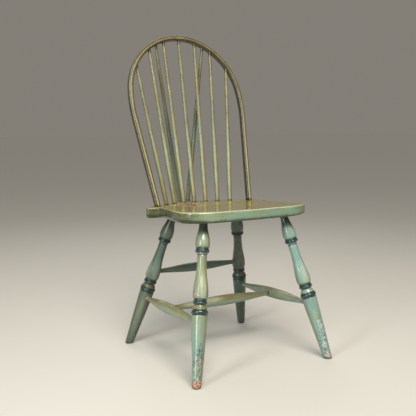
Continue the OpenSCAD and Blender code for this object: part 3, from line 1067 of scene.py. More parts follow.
@dataclass
class LegTurning:
    """The turned pattern that all four legs share. Heights are above the middle of the big ring."""

    pattern: float = 251
    socket: float = 20.5
    foot_d: float = 25
    cone_d: float = 44.5
    cone_stop: float = 9
    ring_d: float = 47
    ring_h: float = 11.6
    bead_d: float = 40
    bead_h: float = 7.4
    small_bead_h: float = 4.4
    small_bead_drop: float = 1.5
    bead_neck: float = 2.6
    cove_depth: float = 4.4
    vase_d: float = 43
    shaft_d: float = 27
    bulb_d: float = 41
    neck_d: float = 24
    cove_base: float = 8
    cove_top: float = 21.4
    low_bead: float = 25.8
    low_small_bead: float = 32.6
    vase_base: float = 36
    vase_widest: float = 50
    shaft_base: float = 146
    shaft_top: float = 157
    fillet_top: float = 163.4
    high_bead: float = 167.6
    high_small_bead: float = 173.6
    bulb_base: float = 176.6
    bulb_widest: float = 189
    neck_base: float = 243
    clear_of_cut: float = 9
    foot_grime: float = 60

    def ring_height(self, length: float) -> float:
        """Return the height of the big ring along a leg of that length."""
        return length - self.socket - self.pattern

    def outline(self, length: float) -> Turning:
        """Lay out the outline of one leg.

        Args:
            length: from the floor to the top of its tenon, along the axis.

        Returns:
            The outline, whose rows below 0 are the foot's bevel.
        """
        ring = self.ring_height(length)
        foot, cone = self.foot_d / 2, self.cone_d / 2
        bead, cove = self.bead_d / 2, self.bead_d / 2 - self.cove_depth
        vase, shaft = self.vase_d / 2, self.shaft_d / 2
        bulb, neck = self.bulb_d / 2, self.neck_d / 2
        beside_bead = bead - self.bead_neck
        out = Turning()

        def bead_pair(large: float, small: float) -> None:
            """Add a bead and the small bead on top of it, at their heights above the big ring."""
            out.bead(ring + large, self.bead_h, beside_bead, bead)
            out.bead(ring + small, self.small_bead_h, beside_bead, bead - self.small_bead_drop)

        # The foot's bevel, darker with soiling and painted shade underneath, and the long cone.
        out.to(foot - 1.2, -2.0, 0, 0.9).to(foot, -1.5, 0, 0.5)
        cone_top = ring - self.cone_stop
        lower = bezier((foot, 0), (foot + (cone - foot) * 0.36, cone_top * 0.33),
                       (cone - 1, cone_top * 0.82), (cone, cone_top), 76)
        for radius, height in lower:
            if height > self.clear_of_cut:
                out.to(radius, height, 0, 0.25 * max(0.0, 1 - height / self.foot_grime))
        # The big ring in its two grooves, which are darkened with soiling and painted shade.
        out.to(cone, cone_top).to(cone - 0.1, ring - 8.4, 0, 0.3).to(cone - 0.6, ring - 7.4, 0, 1)
        out.to(cone - 1.5, ring - 6.4, 0.5, 1)
        out.bead(ring, self.ring_h, cone - 2, self.ring_d / 2)
        # The cove, darkened at both ends with soiling and painted shade, and the lower beads.
        out.to(bead - 0.6, ring + 6.8, 0.3, 1).to(bead + 0.4, ring + self.cove_base, 0, 0.7)
        out.curve((bead + 0.4, ring + self.cove_base + 0.4), (bead, ring + self.cove_base + 5),
                  (cove, ring + self.cove_base + 7), (cove, ring + self.cove_top), 16, (0.5, 0.8))
        bead_pair(self.low_bead, self.low_small_bead)
        # The vase, drawn out into the slim shaft.
        out.curve((beside_bead, ring + self.vase_base), (vase, ring + self.vase_base + 2),
                  (vase, ring + self.vase_widest - 6), (vase, ring + self.vase_widest), 14, (0.8, 0))
        out.curve((vase, ring + self.vase_widest), (vase, ring + self.vase_widest + 28),
                  (shaft, ring + self.shaft_base - 56), (shaft, ring + self.shaft_base), 40)
        out.to(shaft, ring + self.shaft_base).to(shaft, ring + self.shaft_top - 1, 0, 0.3)
        # The fillet above a fine groove, and the upper beads.
        groove, fillet = ring + self.shaft_top, ring + self.fillet_top
        out.to(shaft - 0.4, groove, 0, 1).to(shaft - 0.9, groove + 1, 0, 1)
        out.to(shaft + 0.7, groove + 1.9, 0, 0.6).to(shaft + 1.1, groove + 2.8)
        out.to(shaft + 1.2, fillet - 0.8, 0, 0.3).to(shaft + 1.2, fillet, 0, 1)
        bead_pair(self.high_bead, self.high_small_bead)
        # The bulb, the neck and the tenon.
        out.curve((beside_bead, ring + self.bulb_base), (bulb, ring + self.bulb_base + 2),
                  (bulb, ring + self.bulb_widest - 5), (bulb, ring + self.bulb_widest), 12, (0.8, 0))
        out.curve((bulb, ring + self.bulb_widest), (bulb, ring + self.bulb_widest + 20),
                  (neck, ring + self.neck_base - 21), (neck, ring + self.neck_base), 24, (0, 0.3))
        # The neck darkens towards the plank: painted shade under the plank's overhang.
        out.to(neck, ring + self.neck_base, 0, 0.3).to(neck, length - self.socket - 1, 0, 0.9)
        out.to(neck, length - self.socket + 2, 0, 1).to(neck, length, 0, 1)
        return out


@dataclass(frozen=True)
class LegLook:
    """How one leg is worn, and where it carries painted shade and painted highlights.

    olive_side is the direction that its glaze faces, in degrees, and cove_glaze the glaze in its cove.
    The heights of its spots are above the floor, or in from_ring above the middle of the big ring.
    """

    seed: float
    olive_side: float
    from_ring: tuple[Spot, ...]
    from_floor: tuple[Spot, ...] = ()
    olive_amount: float = 0.62
    cove_glaze: float = 0.8

    def spots(self, ring: float) -> tuple[Spot, ...]:
        """List the leg's worn places and its places of painted shade and painted highlight, the ones of
        every leg among them.

        Args:
            ring: height of the big ring.

        Returns:
            The spots, with their heights above the floor.
        """
        above = (
            # lighter fronts of the vase and the bulb: worn paint and a painted highlight
            Spot(Wear.PALE, 66, -8, 42, 11, 0.42),
            Spot(Wear.PALE, 196, -8, 18, 10, 0.16),
            # painted shade round the neck, under the plank
            Spot(Wear.GRIME, 252, 0, 42, ALL_ROUND, 0.66),
            Spot(Wear.GLAZE, 14, 0, 8, ALL_ROUND, self.cove_glaze),
            *self.from_ring,
        )
        raised = tuple(replace(spot, height=spot.height + ring) for spot in above)
        return (Spot(Wear.SPECK, 15, 0, 100, 400, 0.7), *raised, *self.from_floor)


LEG_LOOKS = {
    (Place.FRONT, Side.LEFT): LegLook(
        seed=1.0,
        olive_side=76.0,
        olive_amount=0.8,
        from_ring=(
            Spot(Wear.GLAZE, 140, 0, 150, ALL_ROUND, 0.32),
            Spot(Wear.BARE, 49, -66, 3.4, 10.5, 0.98),
            # a painted highlight just above the chip, in the scuff colour
            Spot(Wear.SCUFF, 57, -74, 6, 6, 0.95),
        ),
        from_floor=(
            Spot(Wear.BARE, 7, -20, 15, 60, 0.62),
            Spot(Wear.BARE, 68, -8, 12, 2.4, 0.9),
            Spot(Wear.BARE, 47, -4, 5, 2.2, 0.8),
            Spot(Wear.SCUFF, 40, -50, 52, 12, 0.8),
            Spot(Wear.SCUFF, 12, -20, 16, 60, 0.75),
            Spot(Wear.SPECK, 58, -10, 78, 30, 0.95),
            Spot(Wear.SPECK, 12, -20, 18, 60, 1.0),
        ),
    ),
    (Place.FRONT, Side.RIGHT): LegLook(
        seed=2.7,
        olive_side=-140.0,
        cove_glaze=0.25,
        from_ring=(),
        from_floor=(
            Spot(Wear.BARE, 8, 20, 9, 13, 0.95),
            Spot(Wear.SCUFF, 84, -14, 60, 11, 1.0),
            Spot(Wear.SCUFF, 30, -25, 40, 22, 1.0),
            Spot(Wear.SPECK, 46, 5, 58, 26, 0.95),
        ),
    ),
    (Place.REAR, Side.LEFT): LegLook(
        seed=4.0,
        olive_side=-128.0,
        from_ring=(
            Spot(Wear.BARE, -26, 12, 7, 8, 0.75),
            # painted shade on the sides and the bulb turned from the light
            Spot(Wear.GRIME, 120, 52, 120, 13, 0.6),
            Spot(Wear.GRIME, 205, 40, 40, 16, 0.6),
            Spot(Wear.GRIME, 200, 0, 26, ALL_ROUND, 0.3),
            Spot(Wear.GLAZE, 64, -98, 40, 13, 0.5),
            # painted highlights on the vase's left side, the cone and the bulb
            Spot(Wear.PALE, 62, -92, 36, 11, 0.5),
            Spot(Wear.PALE, -90, -40, 70, 9, 0.28),
            Spot(Wear.PALE, 190, -35, 24, 11, 0.2),
        ),
        from_floor=(
            # painted shade down the cone
            Spot(Wear.GRIME, 110, 48, 210, 13, 0.62),
            Spot(Wear.GRIME, 40, 0, 110, ALL_ROUND, 0.22),
        ),
    ),
    (Place.REAR, Side.RIGHT): LegLook(
        seed=5.7,
        olive_side=90.0,
        from_ring=(
            # painted shade over the leg's front, which faces down, away from the light
            Spot(Wear.GRIME, 120, -30, 200, 60, 0.42),
            Spot(Wear.GRIME, 62, -20, 40, 60, 0.5),
        ),
        # painted shade down the cone
        from_floor=(Spot(Wear.GRIME, 110, -20, 160, 60, 0.4),),
    ),
}


@dataclass
class Undercarriage:
    """The four legs, their stretchers and their glides."""

    paint: Material
    blue_paint: Material
    shade_paint: Material
    steel: Material
    turning: LegTurning = field(default_factory=LegTurning)
    foot_cut: float = 3.1
    stretcher_d: float = 32
    rear_stretcher_d: float = 28
    side_end_d: float = 13.5
    cross_end_d: float = 15.5
    rear_end_d: float = 14
    plain_end: float = 30
    end_stop: float = 3
    joint_dark: float = 16
    joint_clear: float = 23
    glide_d: float = 20
    glide_h: float = 3
    glide_round: float = 2
    nail_d: float = 3
    nail_l: float = 14
    leg_around: int = 72
    stretcher_around: int = 48
    glide_around: int = 40

    def leg_axis(self, place: Place, side: Side) -> Axis:
        """Read a leg's axis from the frame.

        Args:
            place: front or rear.
            side: left or right.

        Returns:
            The axis, from the middle of the leg's glide to the end of its tenon.
        """
        low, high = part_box(f"{place.value}_glide_{side.value}")
        foot = np.array([(low.x + high.x) / 2, (low.y + high.y) / 2, 0.0])
        return Axis.of_node(f"{place.value}_leg_{side.value}", foot)

    def leg_paint(self, place: Place, side: Side) -> Material:
        """Return the paint of one leg: darker at the rear as painted shade, bluer at the front right.
        """
        front_paint = self.blue_paint if side is Side.RIGHT else self.paint
        return self.shade_paint if place is Place.REAR else front_paint

    def leg(self, place: Place, side: Side) -> Object:
        """Turn one leg.

        Args:
            place: front or rear.
            side: left or right.

        Returns:
            The leg.
        """
        axis = self.leg_axis(place, side)
        look = LEG_LOOKS[place, side]
        return TurnedPiece(
            node=f"{place.value}_leg_{side.value}",
            slot=Slot.LEG,
            axis=axis,
            outline=self.turning.outline(axis.length),
            material=self.leg_paint(place, side),
            around=self.leg_around,
            seed=look.seed,
            spots=look.spots(self.turning.ring_height(axis.length)),
            olive_side=look.olive_side,
            olive_amount=look.olive_amount,
            floor=self.foot_cut,
        ).build()

    def stretcher(self, node: str, swell_d: float, end_d: float, seed: float,
                  spots: tuple[Spot, ...] = ()) -> Object:
        """Turn one stretcher.

        Args:
            node: its frame node.
            swell_d: diameter at its middle.
            end_d: diameter of its two ends.
            seed: seed of its unevenness.
            spots: its worn places.

        Returns:
            The stretcher.
        """
        axis = Axis.of_node(node)
        stop = self.end_stop
        length = axis.length + 2 * stop
        end, middle = end_d / 2, swell_d / 2
        half = bezier((end, self.plain_end), (end + 1.5, self.plain_end + length * 0.12),
                      (middle, length * 0.3), (middle, length / 2), 34)
        out = Turning().to(end, 0, 0, 0.6)
        out.to(end, self.joint_dark - stop, 0, 1.0).to(end, self.joint_clear - stop, 0, 0.2)
        for radius, height in half:
            out.to(radius, height - stop)
        out.to(middle, length / 2 - stop)
        for radius, height in half[::-1]:
            out.to(radius, length - height - stop)
        out.to(end, axis.length - self.joint_clear + stop, 0, 0.2)
        out.to(end, axis.length - self.joint_dark + stop, 0, 1.0)
        out.to(end, axis.length, 0, 0.6)
        return TurnedPiece(
            node=node,
            slot=Slot.LEG,
            axis=axis,
            outline=out,
            # the rear stretcher takes the darker paint of the rear legs: painted shade
            material=self.shade_paint if node == "rear_stretcher" else self.paint,
            around=self.stretcher_around,
            seed=seed,
            spots=spots,
            lying=True,
        ).build()

    def glide(self, place: Place, side: Side) -> Object:
        """Turn one glide with its nail, standing on the floor.

        Args:
            place: front or rear.
            side: left or right.

        Returns:
            The glide.
        """
        node = f"{place.value}_glide_{side.value}"
        low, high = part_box(node)
        foot = np.array([(low.x + high.x) / 2, (low.y + high.y) / 2, low.z])
        axis = Axis(foot, foot + np.array([0, 0, 1.0]) * (high.z - low.z))
        rim, nail, top = self.glide_d / 2, self.nail_d / 2, self.glide_h
        flat = rim - self.glide_round
        out = Turning().to(flat - 0.2, 0).to(flat, 0)
        for i in range(1, 7):
            a = math.pi / 12 * i
            out.to(flat + self.glide_round * math.sin(a), (top - 0.6) * (1 - math.cos(a)))
        out.to(rim, top - 0.2).to(rim - 0.2, top).to(nail + 0.3, top)
        out.to(nail, top + 0.3).to(nail, top + self.nail_l - 2).to(0.2, top + self.nail_l)
        around = self.glide_around
        return TurnedPiece(node, Slot.STEEL, axis, out, self.steel, around, unevenness=0.0).build()

    def side_spots(self, length: float) -> tuple[tuple[Spot, ...], tuple[Spot, ...]]:
        """List the worn places of the two side stretchers, and the painted shade on their undersides.

        Args:
            length: their length between the legs' middles.

        Returns:
            The spots of the left one, rubbed by feet, and of the right one, yellowed on top.
        """
        middle = length * 0.5
        rubbed = (
            Spot(Wear.SCUFF, length * 0.6, 16, length * 0.36, 8, 0.8),
            Spot(Wear.BARE, length * 0.62, 12, length * 0.26, 4, 0.36),
            Spot(Wear.GLAZE, length * 0.55, 10, middle, 15, 0.85),
            Spot(Wear.BARE, length - 24, 60, 5, 14, 0.85),
            # painted shade on the underside
            Spot(Wear.GRIME, middle, 180, length * 0.6, 12, 0.35),
        )
        sunny = (
            Spot(Wear.GLAZE, middle, -10, middle, 16, 0.8),
            # painted shade on the underside
            Spot(Wear.GRIME, middle, 180, length * 0.6, 14, 0.4),
            Spot(Wear.GRIME, middle, 0, length * 0.14, 14, 0.35),
        )
        return rubbed, sunny

    def build(self) -> list[Object]:
        """Build every piece under the plank.

        Returns:
            The pieces.
        """
        made = []
        for place in Place:
            for side in Side:
                made.append(self.leg(place, side))
                made.append(self.glide(place, side))
        rubbed, sunny = self.side_spots(Axis.of_node("side_stretcher_left").length)
        yellowed = (
            Spot(Wear.GLAZE, 170, -10, 220, 22, 0.9),
            # painted shade on the underside
            Spot(Wear.GRIME, 170, 180, 220, 12, 0.45),
            Spot(Wear.PALE, 110, -50, 70, 11, 0.6),
        )
        swell, ends = self.stretcher_d, self.side_end_d
        made.append(self.stretcher("side_stretcher_left", swell, ends, 7.0, rubbed))
        made.append(self.stretcher("side_stretcher_right", swell, ends, 8.0, sunny))
        made.append(self.stretcher("cross_stretcher", swell, self.cross_end_d, 9.0, yellowed))
        made.append(self.stretcher("rear_stretcher", self.rear_stretcher_d, self.rear_end_d, 10.0))
        return made


# ---------------------------------------------------------------- plank


@dataclass(frozen=True)
class Patch:
    """A worn patch of the plank's top.

    x and y are its middle from the centre of the spindle arc, and half_x and half_y its half sizes, in
    millimetres. It fades out between the shares inner and outer of those.
    """

    x: float
    y: float
    half_x: float
    half_y: float
    inner: float
    outer: float
    amount: float = 1.0

    def mask(self, x: Array, y: Array) -> Array:
        """Return how much of the patch falls on places across and towards the rear."""
        far = np.hypot((x - self.x) / self.half_x, (y - self.y) / self.half_y)
        return self.amount * (1 - ramp(far, self.inner, self.outer))


PEELED = (
    Patch(-70, 158, 72, 98, 0.2, 1.2, 0.9),
    Patch(-8, 228, 62, 18, 0.4, 1.2),
    Patch(120, 175, 30, 26, 0.3, 1.2, 0.5),
)
SAT_ON = Patch(0, 60, 125, 115, 0.5, 1.3)


@dataclass
class Plank:
    """The shaped plank with its hollow and its tail."""

    paint: Material
    width: float = 425
    front: float = 114
    front_bow: float = 4.6
    front_turn: float = 114
    corner_len: float = 68
    corner_cut: float = 52
    waist_cut: float = 31
    waist_ahead: float = 52
    thickness: float = 31
    pitch: float = 2.3
    arc_r: float = 243.5
    bow_angle: float = 43.4
    spindle_angle: float = 9.6
    brace_x: float = 16.5
    brace_behind: float = 71
    rear_margin: float = 24
    side_margin: float = 51
    rear_round: float = 9
    root_flare: float = 20
    root_len: float = 28
    tail_w: float = 76
    tail_behind: float = 94
    tail_round: float = 15
    edge_top_r: float = 5
    edge_low_r: float = 6
    edge_low_h: float = 9
    dish: float = 5
    dish_middle: float = 45
    dish_side_rim: float = 16
    dish_front_rim: float = 25
    dish_rear_rim: float = 53.5
    dish_square: float = 2.4
    fan_middle: float = 94
    edge_grain: float = 500
    rim_pale_highlight: float = 0.55
    shade_glaze: float = 0.45
    shade_grime: float = 0.58
    joint_grime: float = 0.75
    under_edge_shade: float = 0.7
    sat_scuff: float = 0.2
    top_speck: float = 0.3
    peel_bare: float = 0.7
    peel_scuff: float = 0.3
    peel_speck: float = 0.75

    @property
    def bow_foot(self) -> Array:
        """Place of the bow's right foot, from the centre of the spindle arc."""
        a = math.radians(self.bow_angle)
        return self.arc_r * np.array([math.sin(a), math.cos(a)])

    @property
    def waist_x(self) -> float:
        """Half width at the waist."""
        return self.width / 2 - self.waist_cut

    def outline(self) -> Array:
        """Lay out the plank's outline, anticlockwise from the middle of the front.

        Returns:
            Points in millimetres from the centre of the spindle arc.
        """
        turn = np.array([self.front_turn, self.front_bow - self.front])
        ear = np.array([self.width / 2, turn[1] + self.corner_len])
        waist = np.array([self.waist_x, self.bow_foot[1] - self.waist_ahead])
        rear_r = self.arc_r + self.rear_margin
        corner_x = self.bow_foot[0] + self.side_margin
        corner = np.array([corner_x, math.sqrt(rear_r**2 - corner_x**2)])
        inward, onward = unit((0.75, 0.67)), unit((-corner[1], corner[0]))
        tail_x, tail_y = self.tail_w / 2, self.arc_r + self.tail_behind
        root_a = math.asin((tail_x + self.root_flare) / rear_r)
        round_a = math.atan2(corner[0], corner[1]) - math.asin(self.rear_round / rear_r)
        root = rear_r * np.array([math.sin(root_a), math.cos(root_a)])
        root_end = root[1] + self.root_len
        angles = np.linspace(round_a, root_a, 60, endpoint=False)
        arc = rear_r * np.stack([np.sin(angles), np.cos(angles)], 1)
        small, tail = self.rear_round, self.tail_round
        half = [
            # The front, its corner, the side and the swell to the rear corner.
            bezier((0, -self.front), (turn[0] / 2, -self.front), turn - (24, 0), turn, 30),
            bezier(turn, (ear[0] - self.corner_cut, turn[1]), ear - (0, self.corner_len / 2), ear, 60),
            bezier(ear, ear + (0, 43), waist - (0, 36), waist, 44),
            bezier(waist, waist + (0, 22), corner - 22 * inward, corner - small * inward, 26),
            bezier(corner - small * inward, corner - small / 3 * inward,
                   corner + small / 3 * onward, arc[0], 12),
            # The rear edge behind the spindles, and the tail.
            arc,
            bezier(root, root + self.root_len / 2 * unit((-root[1], root[0])),
                   (tail_x, root[1] + self.root_len * 0.4), (tail_x, root_end), 18),
            bezier((tail_x, root_end), (tail_x, root_end + 9),
                   (tail_x, tail_y - tail - 9), (tail_x, tail_y - tail), 8),
            bezier((tail_x, tail_y - tail), (tail_x, tail_y - tail / 3), (tail_x - tail / 3, tail_y),
                   (tail_x - tail, tail_y), 14),
            bezier((tail_x - tail, tail_y), (tail_x - tail - 8, tail_y), (8, tail_y), (0, tail_y), 8),
        ]
        right = np.vstack(half + [np.array([[0, tail_y]])])
        left = right[-2:0:-1] * (-1, 1)
        return np.vstack([right, left])

    def top(self, places: Array) -> Array:
        """Work out the height of the hollowed top.

        Args:
            places: points in millimetres from the centre of the spindle arc.

        Returns:
            The height at each place, 0 on the flat rim.
        """
        x = places[:, 0]
        y = places[:, 1] - self.dish_middle
        reach_x = self.waist_x - self.dish_side_rim
        rear = self.arc_r - self.dish_middle - self.dish_rear_rim
        front = self.front + self.dish_middle - self.dish_front_rim
        reach_y = np.where(y > 0, rear, front)
        k = self.dish_square
        q = ((np.abs(x) / reach_x) ** k + (np.abs(y) / reach_y) ** k) ** (1 / k)
        return -self.dish * (1 - ramp(q, 0.15, 1.0))

    def rings(self) -> tuple[Array, int]:
        """Lay out the skin as rings of equal count, from the underside's middle to the top's.

        Returns:
            The points and the number of points in a ring.
        """
        outline = self.outline()
        along = np.roll(outline, -1, 0) - np.roll(outline, 1, 0)
        along /= np.linalg.norm(along, axis=1)[:, None]
        inward = np.stack([-along[:, 1], along[:, 0]], 1)
        middle = np.array([0.0, self.fan_middle])
        quarter = np.radians(np.linspace(0, 90, 9))
        stack = []

        def ring(points: Array, height: Any) -> None:
            """Add one ring at a height or heights."""
            stack.append(np.column_stack([points, np.broadcast_to(height, len(points))]))

        low_edge = outline + inward * self.edge_low_r
        for share in np.linspace(0.04, 0.98, 16):
            ring(middle + share * (low_edge - middle), -self.thickness)
        for a in quarter:
            ring(outline + inward * self.edge_low_r * (1 - math.sin(a)),
                 self.edge_low_h * (1 - math.cos(a)) - self.thickness)
        low, high = self.edge_low_h - self.thickness, -self.edge_top_r
        for share in np.linspace(0.1, 0.9, 8):
            ring(outline, low + share * (high - low))
        for a in quarter:
            ring(outline + inward * self.edge_top_r * (1 - math.cos(a)),
                 self.edge_top_r * (math.sin(a) - 1))
        top_edge = outline + inward * self.edge_top_r
        for share in np.linspace(0.985, 0.02, 56):
            places = middle + share * (top_edge - middle)
            ring(places, self.top(places))
        return np.vstack(stack), len(outline)

    def placed(self, local: Array) -> Array:
        """Pitch points of the plank's own plane and place them by the frame's box of the plank.

        Args:
            local: points in millimetres from the centre of the spindle arc, 0 at the top's flat rim.

        Returns:
            Points in metres in the row frame.
        """
        low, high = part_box("seat")
        a = math.radians(self.pitch)
        y = local[:, 1] * math.cos(a) + local[:, 2] * math.sin(a)
        z = -local[:, 1] * math.sin(a) + local[:, 2] * math.cos(a)
        tail_y = self.arc_r + self.tail_behind
        rear_y = tail_y * math.cos(a) - self.edge_top_r * math.sin(a)
        tail_low = -tail_y * math.sin(a) - self.thickness * math.cos(a)
        sink = self.edge_low_r * math.sin(a)
        x = local[:, 0] + (low.x + high.x) / 2 / MM
        return np.stack([x, y - rear_y + high.y / MM, z - tail_low - sink + low.z / MM], 1) * MM

    def build(self) -> Object:
        """Build the plank, worn most where people slide off it and where paint has flaked.

        Returns:
            The plank.
        """
        local, count = self.rings()
        made = add_object("painted_seat", self.placed(local), ring_faces(len(local) // count, count))
        self.wear(made.data, local)
        return dress(made, "seat", self.paint)

    def joints(self, x: Array, y: Array) -> Array:
        """Mark the dirty rings round the feet of the spindles and of the bow.

        Args:
            x: places across.
            y: places towards the rear.

        Returns:
            An amount for each place.
        """
        angles = np.radians(self.spindle_angle * np.arange(-3, 4))
        feet = [self.arc_r * np.array([math.sin(a), math.cos(a)]) for a in angles]
        feet += [np.array([s * self.brace_x, self.arc_r + self.brace_behind]) for s in (-1, 1)]
        near = np.min([np.hypot(x - f[0], y - f[1]) for f in feet], axis=0)
        bow_feet = [self.bow_foot * (s, 1) for s in (-1, 1)]
        bow_near = np.min([np.hypot(x - f[0], y - f[1]) for f in bow_feet], axis=0)
        return np.maximum(1 - ramp(near, 7, 10), 1 - ramp(bow_near, 9, 13))

    def wear(self, mesh: Mesh, local: Array) -> None:
        """Store the grain's coordinates and the amounts of wear, painted shade and highlight on the
        plank's vertices.

        Args:
            mesh: the plank's mesh.
            local: its vertices in the plank's own plane, in millimetres.
        """
        x, y, z = local.T
        normal = np.zeros(len(mesh.vertices) * 3)
        mesh.vertices.foreach_get("normal", normal)
        normal = normal.reshape(-1, 3)
        up = normal[:, 2]

        flat = ramp(np.abs(up), 0.6, 0.8) > 0.5
        outline = self.outline()
        steps = np.hypot(*(np.roll(outline, -1, 0) - outline).T)
        around = np.tile(np.concatenate([[0], np.cumsum(steps)[:-1]]), len(x) // len(outline))
        on_flat, on_edge = np.stack([x, z, y], 1), np.stack([0 * z, z, around + self.edge_grain], 1)
        put(mesh, "grain", np.where(flat[:, None], on_flat, on_edge) * MM)

        topness = ramp(up, 0.72, 0.97)
        rim = ramp(up, 0.3, 0.6) * (1 - ramp(up, 0.8, 0.97))
        faces_side = 0.85 * ramp(np.abs(normal[:, 0]), 0.2, 0.8)
        at_rear = ramp(y, -70, 40) * ramp(np.abs(x), 40, 90)
        shaded = (1 - ramp(up, 0.5, 0.85)) * np.maximum(faces_side, at_rear)
        # painted shade along the lower edge, under the plank
        under_edge = ramp(-z, self.thickness - 13, self.thickness - 2)
        dirty_joints = self.joints(x, y) * topness
        peel = np.max([patch.mask(x, y) for patch in PEELED], axis=0) * topness
        grime = dirty_joints * self.joint_grime + under_edge * self.under_edge_shade
        grime += self.shade_grime * shaded
        put_wear(mesh, {
            Wear.GLAZE: np.clip(topness + self.shade_glaze * shaded, 0, 1),
            # a painted highlight along the rounding of the front's top edge
            Wear.PALE: self.rim_pale_highlight * rim * (1 - ramp(y, -20, 90)),
            Wear.GRIME: np.clip(grime, 0, 1),
            Wear.BARE: peel * self.peel_bare,
            Wear.SCUFF: peel * self.peel_scuff + self.sat_scuff * topness * SAT_ON.mask(x, y),
            Wear.SPECK: np.clip(self.top_speck * topness + self.peel_speck * peel, 0, 1),
        })


# ---------------------------------------------------------------- back


@dataclass
class Hoop:
    """The bent hoop with a bead and two grooves worked into its face."""

    paint: Material
    width: float = 15
    depth: float = 19
    recline: float = 17.7
    flare: float = 6.4
    straight: float = 277
    shoulder_r: float = 434
    shoulder_turn: float = 12.5
    foot_x: float = 167.31
    bead_share: float = 0.46
    groove_w: float = 0.6
    groove_depth: float = 1.1
    groove_deeper: float = 0.25
    back_round: float = 5
    tenon_d: float = 13
    tenon_l: float = 18.5
    shoulder_gap: float = 0.6
    seat_pitch: float = 2.3
    back_glaze: float = 0.35
    bead_pale_highlight: float = 0.5
    groove_dirt_and_shade: float = 1.3
    inner_side_shade: float = 0.75
    outer_side_shade: float = 0.66
    specks: float = 0.25

    def directions(self) -> tuple[Array, Array, Array]:
        """Return the across, up-slope and out-of-back directions of the hoop's plane."""
        sin, cos = math.sin(math.radians(self.recline)), math.cos(math.radians(self.recline))
        return np.array([1.0, 0, 0]), np.array([0, sin, cos]), np.array([0, cos, -sin])

    def leg_direction(self, side: int) -> Array:
        """Return the direction up the hoop's right leg, or its left one where side is -1."""
        across, up = self.directions()[:2]
        a = math.radians(self.flare)
        return side * math.sin(a) * across + math.cos(a) * up

    def path(self) -> Array:
        """Lay out the hoop's centre line.

        Returns:
            Rows of across, up-slope and the angle of the outward side, in millimetres and radians.
        """
        flare, turn = math.radians(self.flare), math.radians(self.shoulder_turn)
        foot, onward = np.array([self.foot_x, 0.0]), np.array([math.sin(flare), math.cos(flare)])
        start = foot + self.straight * onward
        centre = start - self.shoulder_r * np.array([math.cos(flare), -math.sin(flare)])
        crown_a = flare - turn
        crown_start = centre + self.shoulder_r * np.array([math.cos(crown_a), -math.sin(crown_a)])
        crown_r = crown_start[0] / math.cos(crown_a)
        crown_v = crown_start[1] + crown_r * math.sin(crown_a)
        rows = []
        for t in np.linspace(0, 1, 40, endpoint=False):
            rows.append((self.foot_x + t * (start[0] - self.foot_x), t * start[1], flare))
        for a in np.linspace(flare, crown_a, 16, endpoint=False):
            across, down = self.shoulder_r * math.cos(a), self.shoulder_r * math.sin(a)
            rows.append((centre[0] + across, centre[1] - down, a))
        for a in np.linspace(crown_a, -math.pi / 2, 70):
            rows.append((crown_r * math.cos(a), crown_v - crown_r * math.sin(a), a))
        right = np.array(rows)
        left = right[-2::-1] * (-1, 1, -1) + (0, 0, -math.pi)
        return np.vstack([right, left])

    def section(self) -> tuple[Array, Array]:
        """Lay out the hoop's section, from the middle of its face outwards and round its back.

        Returns:
            Points as outwards and backwards in millimetres, and each point's kind: 1 on the bead of
            the face, -1 in a groove and 0 elsewhere.
        """
        half, deep = self.width / 2, self.depth / 2
        bead = self.bead_share * half
        groove = bead + self.groove_w
        lip = half - groove
        quarter = np.radians(np.linspace(0, 90, 7))
        side_start = self.groove_depth + lip
        side = self.depth - lip - self.groove_depth - self.back_round
        rows = []
        for a in quarter:
            rise = self.groove_depth * (1 - math.cos(a))
            rows.append((bead * math.sin(a), rise - deep, 1.0 if a < 0.9 else -0.9))
        rows.append((bead + self.groove_w * 0.5, self.groove_depth + self.groove_deeper - deep, -1.0))
        rows.append((groove, self.groove_depth - deep, -1.0))
        for a in np.radians(np.linspace(12, 90, 7)):
            rise = self.groove_depth + lip * (1 - math.cos(a))
            rows.append((groove + lip * math.sin(a), rise - deep, -0.95 if a < 0.5 else 0.25))
        for share in (0.25, 0.5, 0.75):
            rows.append((half, side_start - deep + share * side, 0.0))
        for a in quarter:
            inset, rise = 1 - math.cos(a), 1 - math.sin(a)
            rows.append((half - self.back_round * inset, deep - self.back_round * rise, 0.0))
        right = np.array(rows)
        left = right[:0:-1] * (-1, 1, 1)
        whole = np.vstack([right, left])
        return whole[:, :2], whole[:, 2]

    def foot(self) -> Array:
        """Find the right foot of the hoop on the plank from the end of its tenon in the frame.

        Returns:
            The foot's middle, in metres.
        """
        leg = self.leg_direction(1)
        points = node_points("bow")
        tip = end_disc(points[points[:, 0] > 0], -leg, 0.05 * MM)
        return tip + leg * self.tenon_l * MM

    def square_foot(self, ring: Array, side: int, origin: Array) -> tuple[Array, Array]:
        """Cut the sweep's last ring square to the plank and add a tenon under it.

        Args:
            ring: the ring's points in metres, which are moved.
            side: 1 for the right foot, -1 for the left one.
            origin: the middle between the two feet.

        Returns:
            The rings at the top and at the tip of the tenon.
        """
        slope = math.tan(math.radians(self.seat_pitch))
        leg = self.leg_direction(side)
        height = origin[2] - slope * (ring[:, 1] - origin[1])
        ring += np.outer((height - ring[:, 2]) / (leg[2] + slope * leg[1]), leg)
        foot = origin + side * np.array([self.foot_x * MM, 0, 0])
        spoke = ring - foot
        spoke -= np.outer(spoke @ leg, leg)
        circle = foot + spoke / np.linalg.norm(spoke, axis=1)[:, None] * self.tenon_d / 2 * MM
        circle -= leg * self.shoulder_gap * MM
        return circle, circle - leg * (self.tenon_l - self.shoulder_gap) * MM

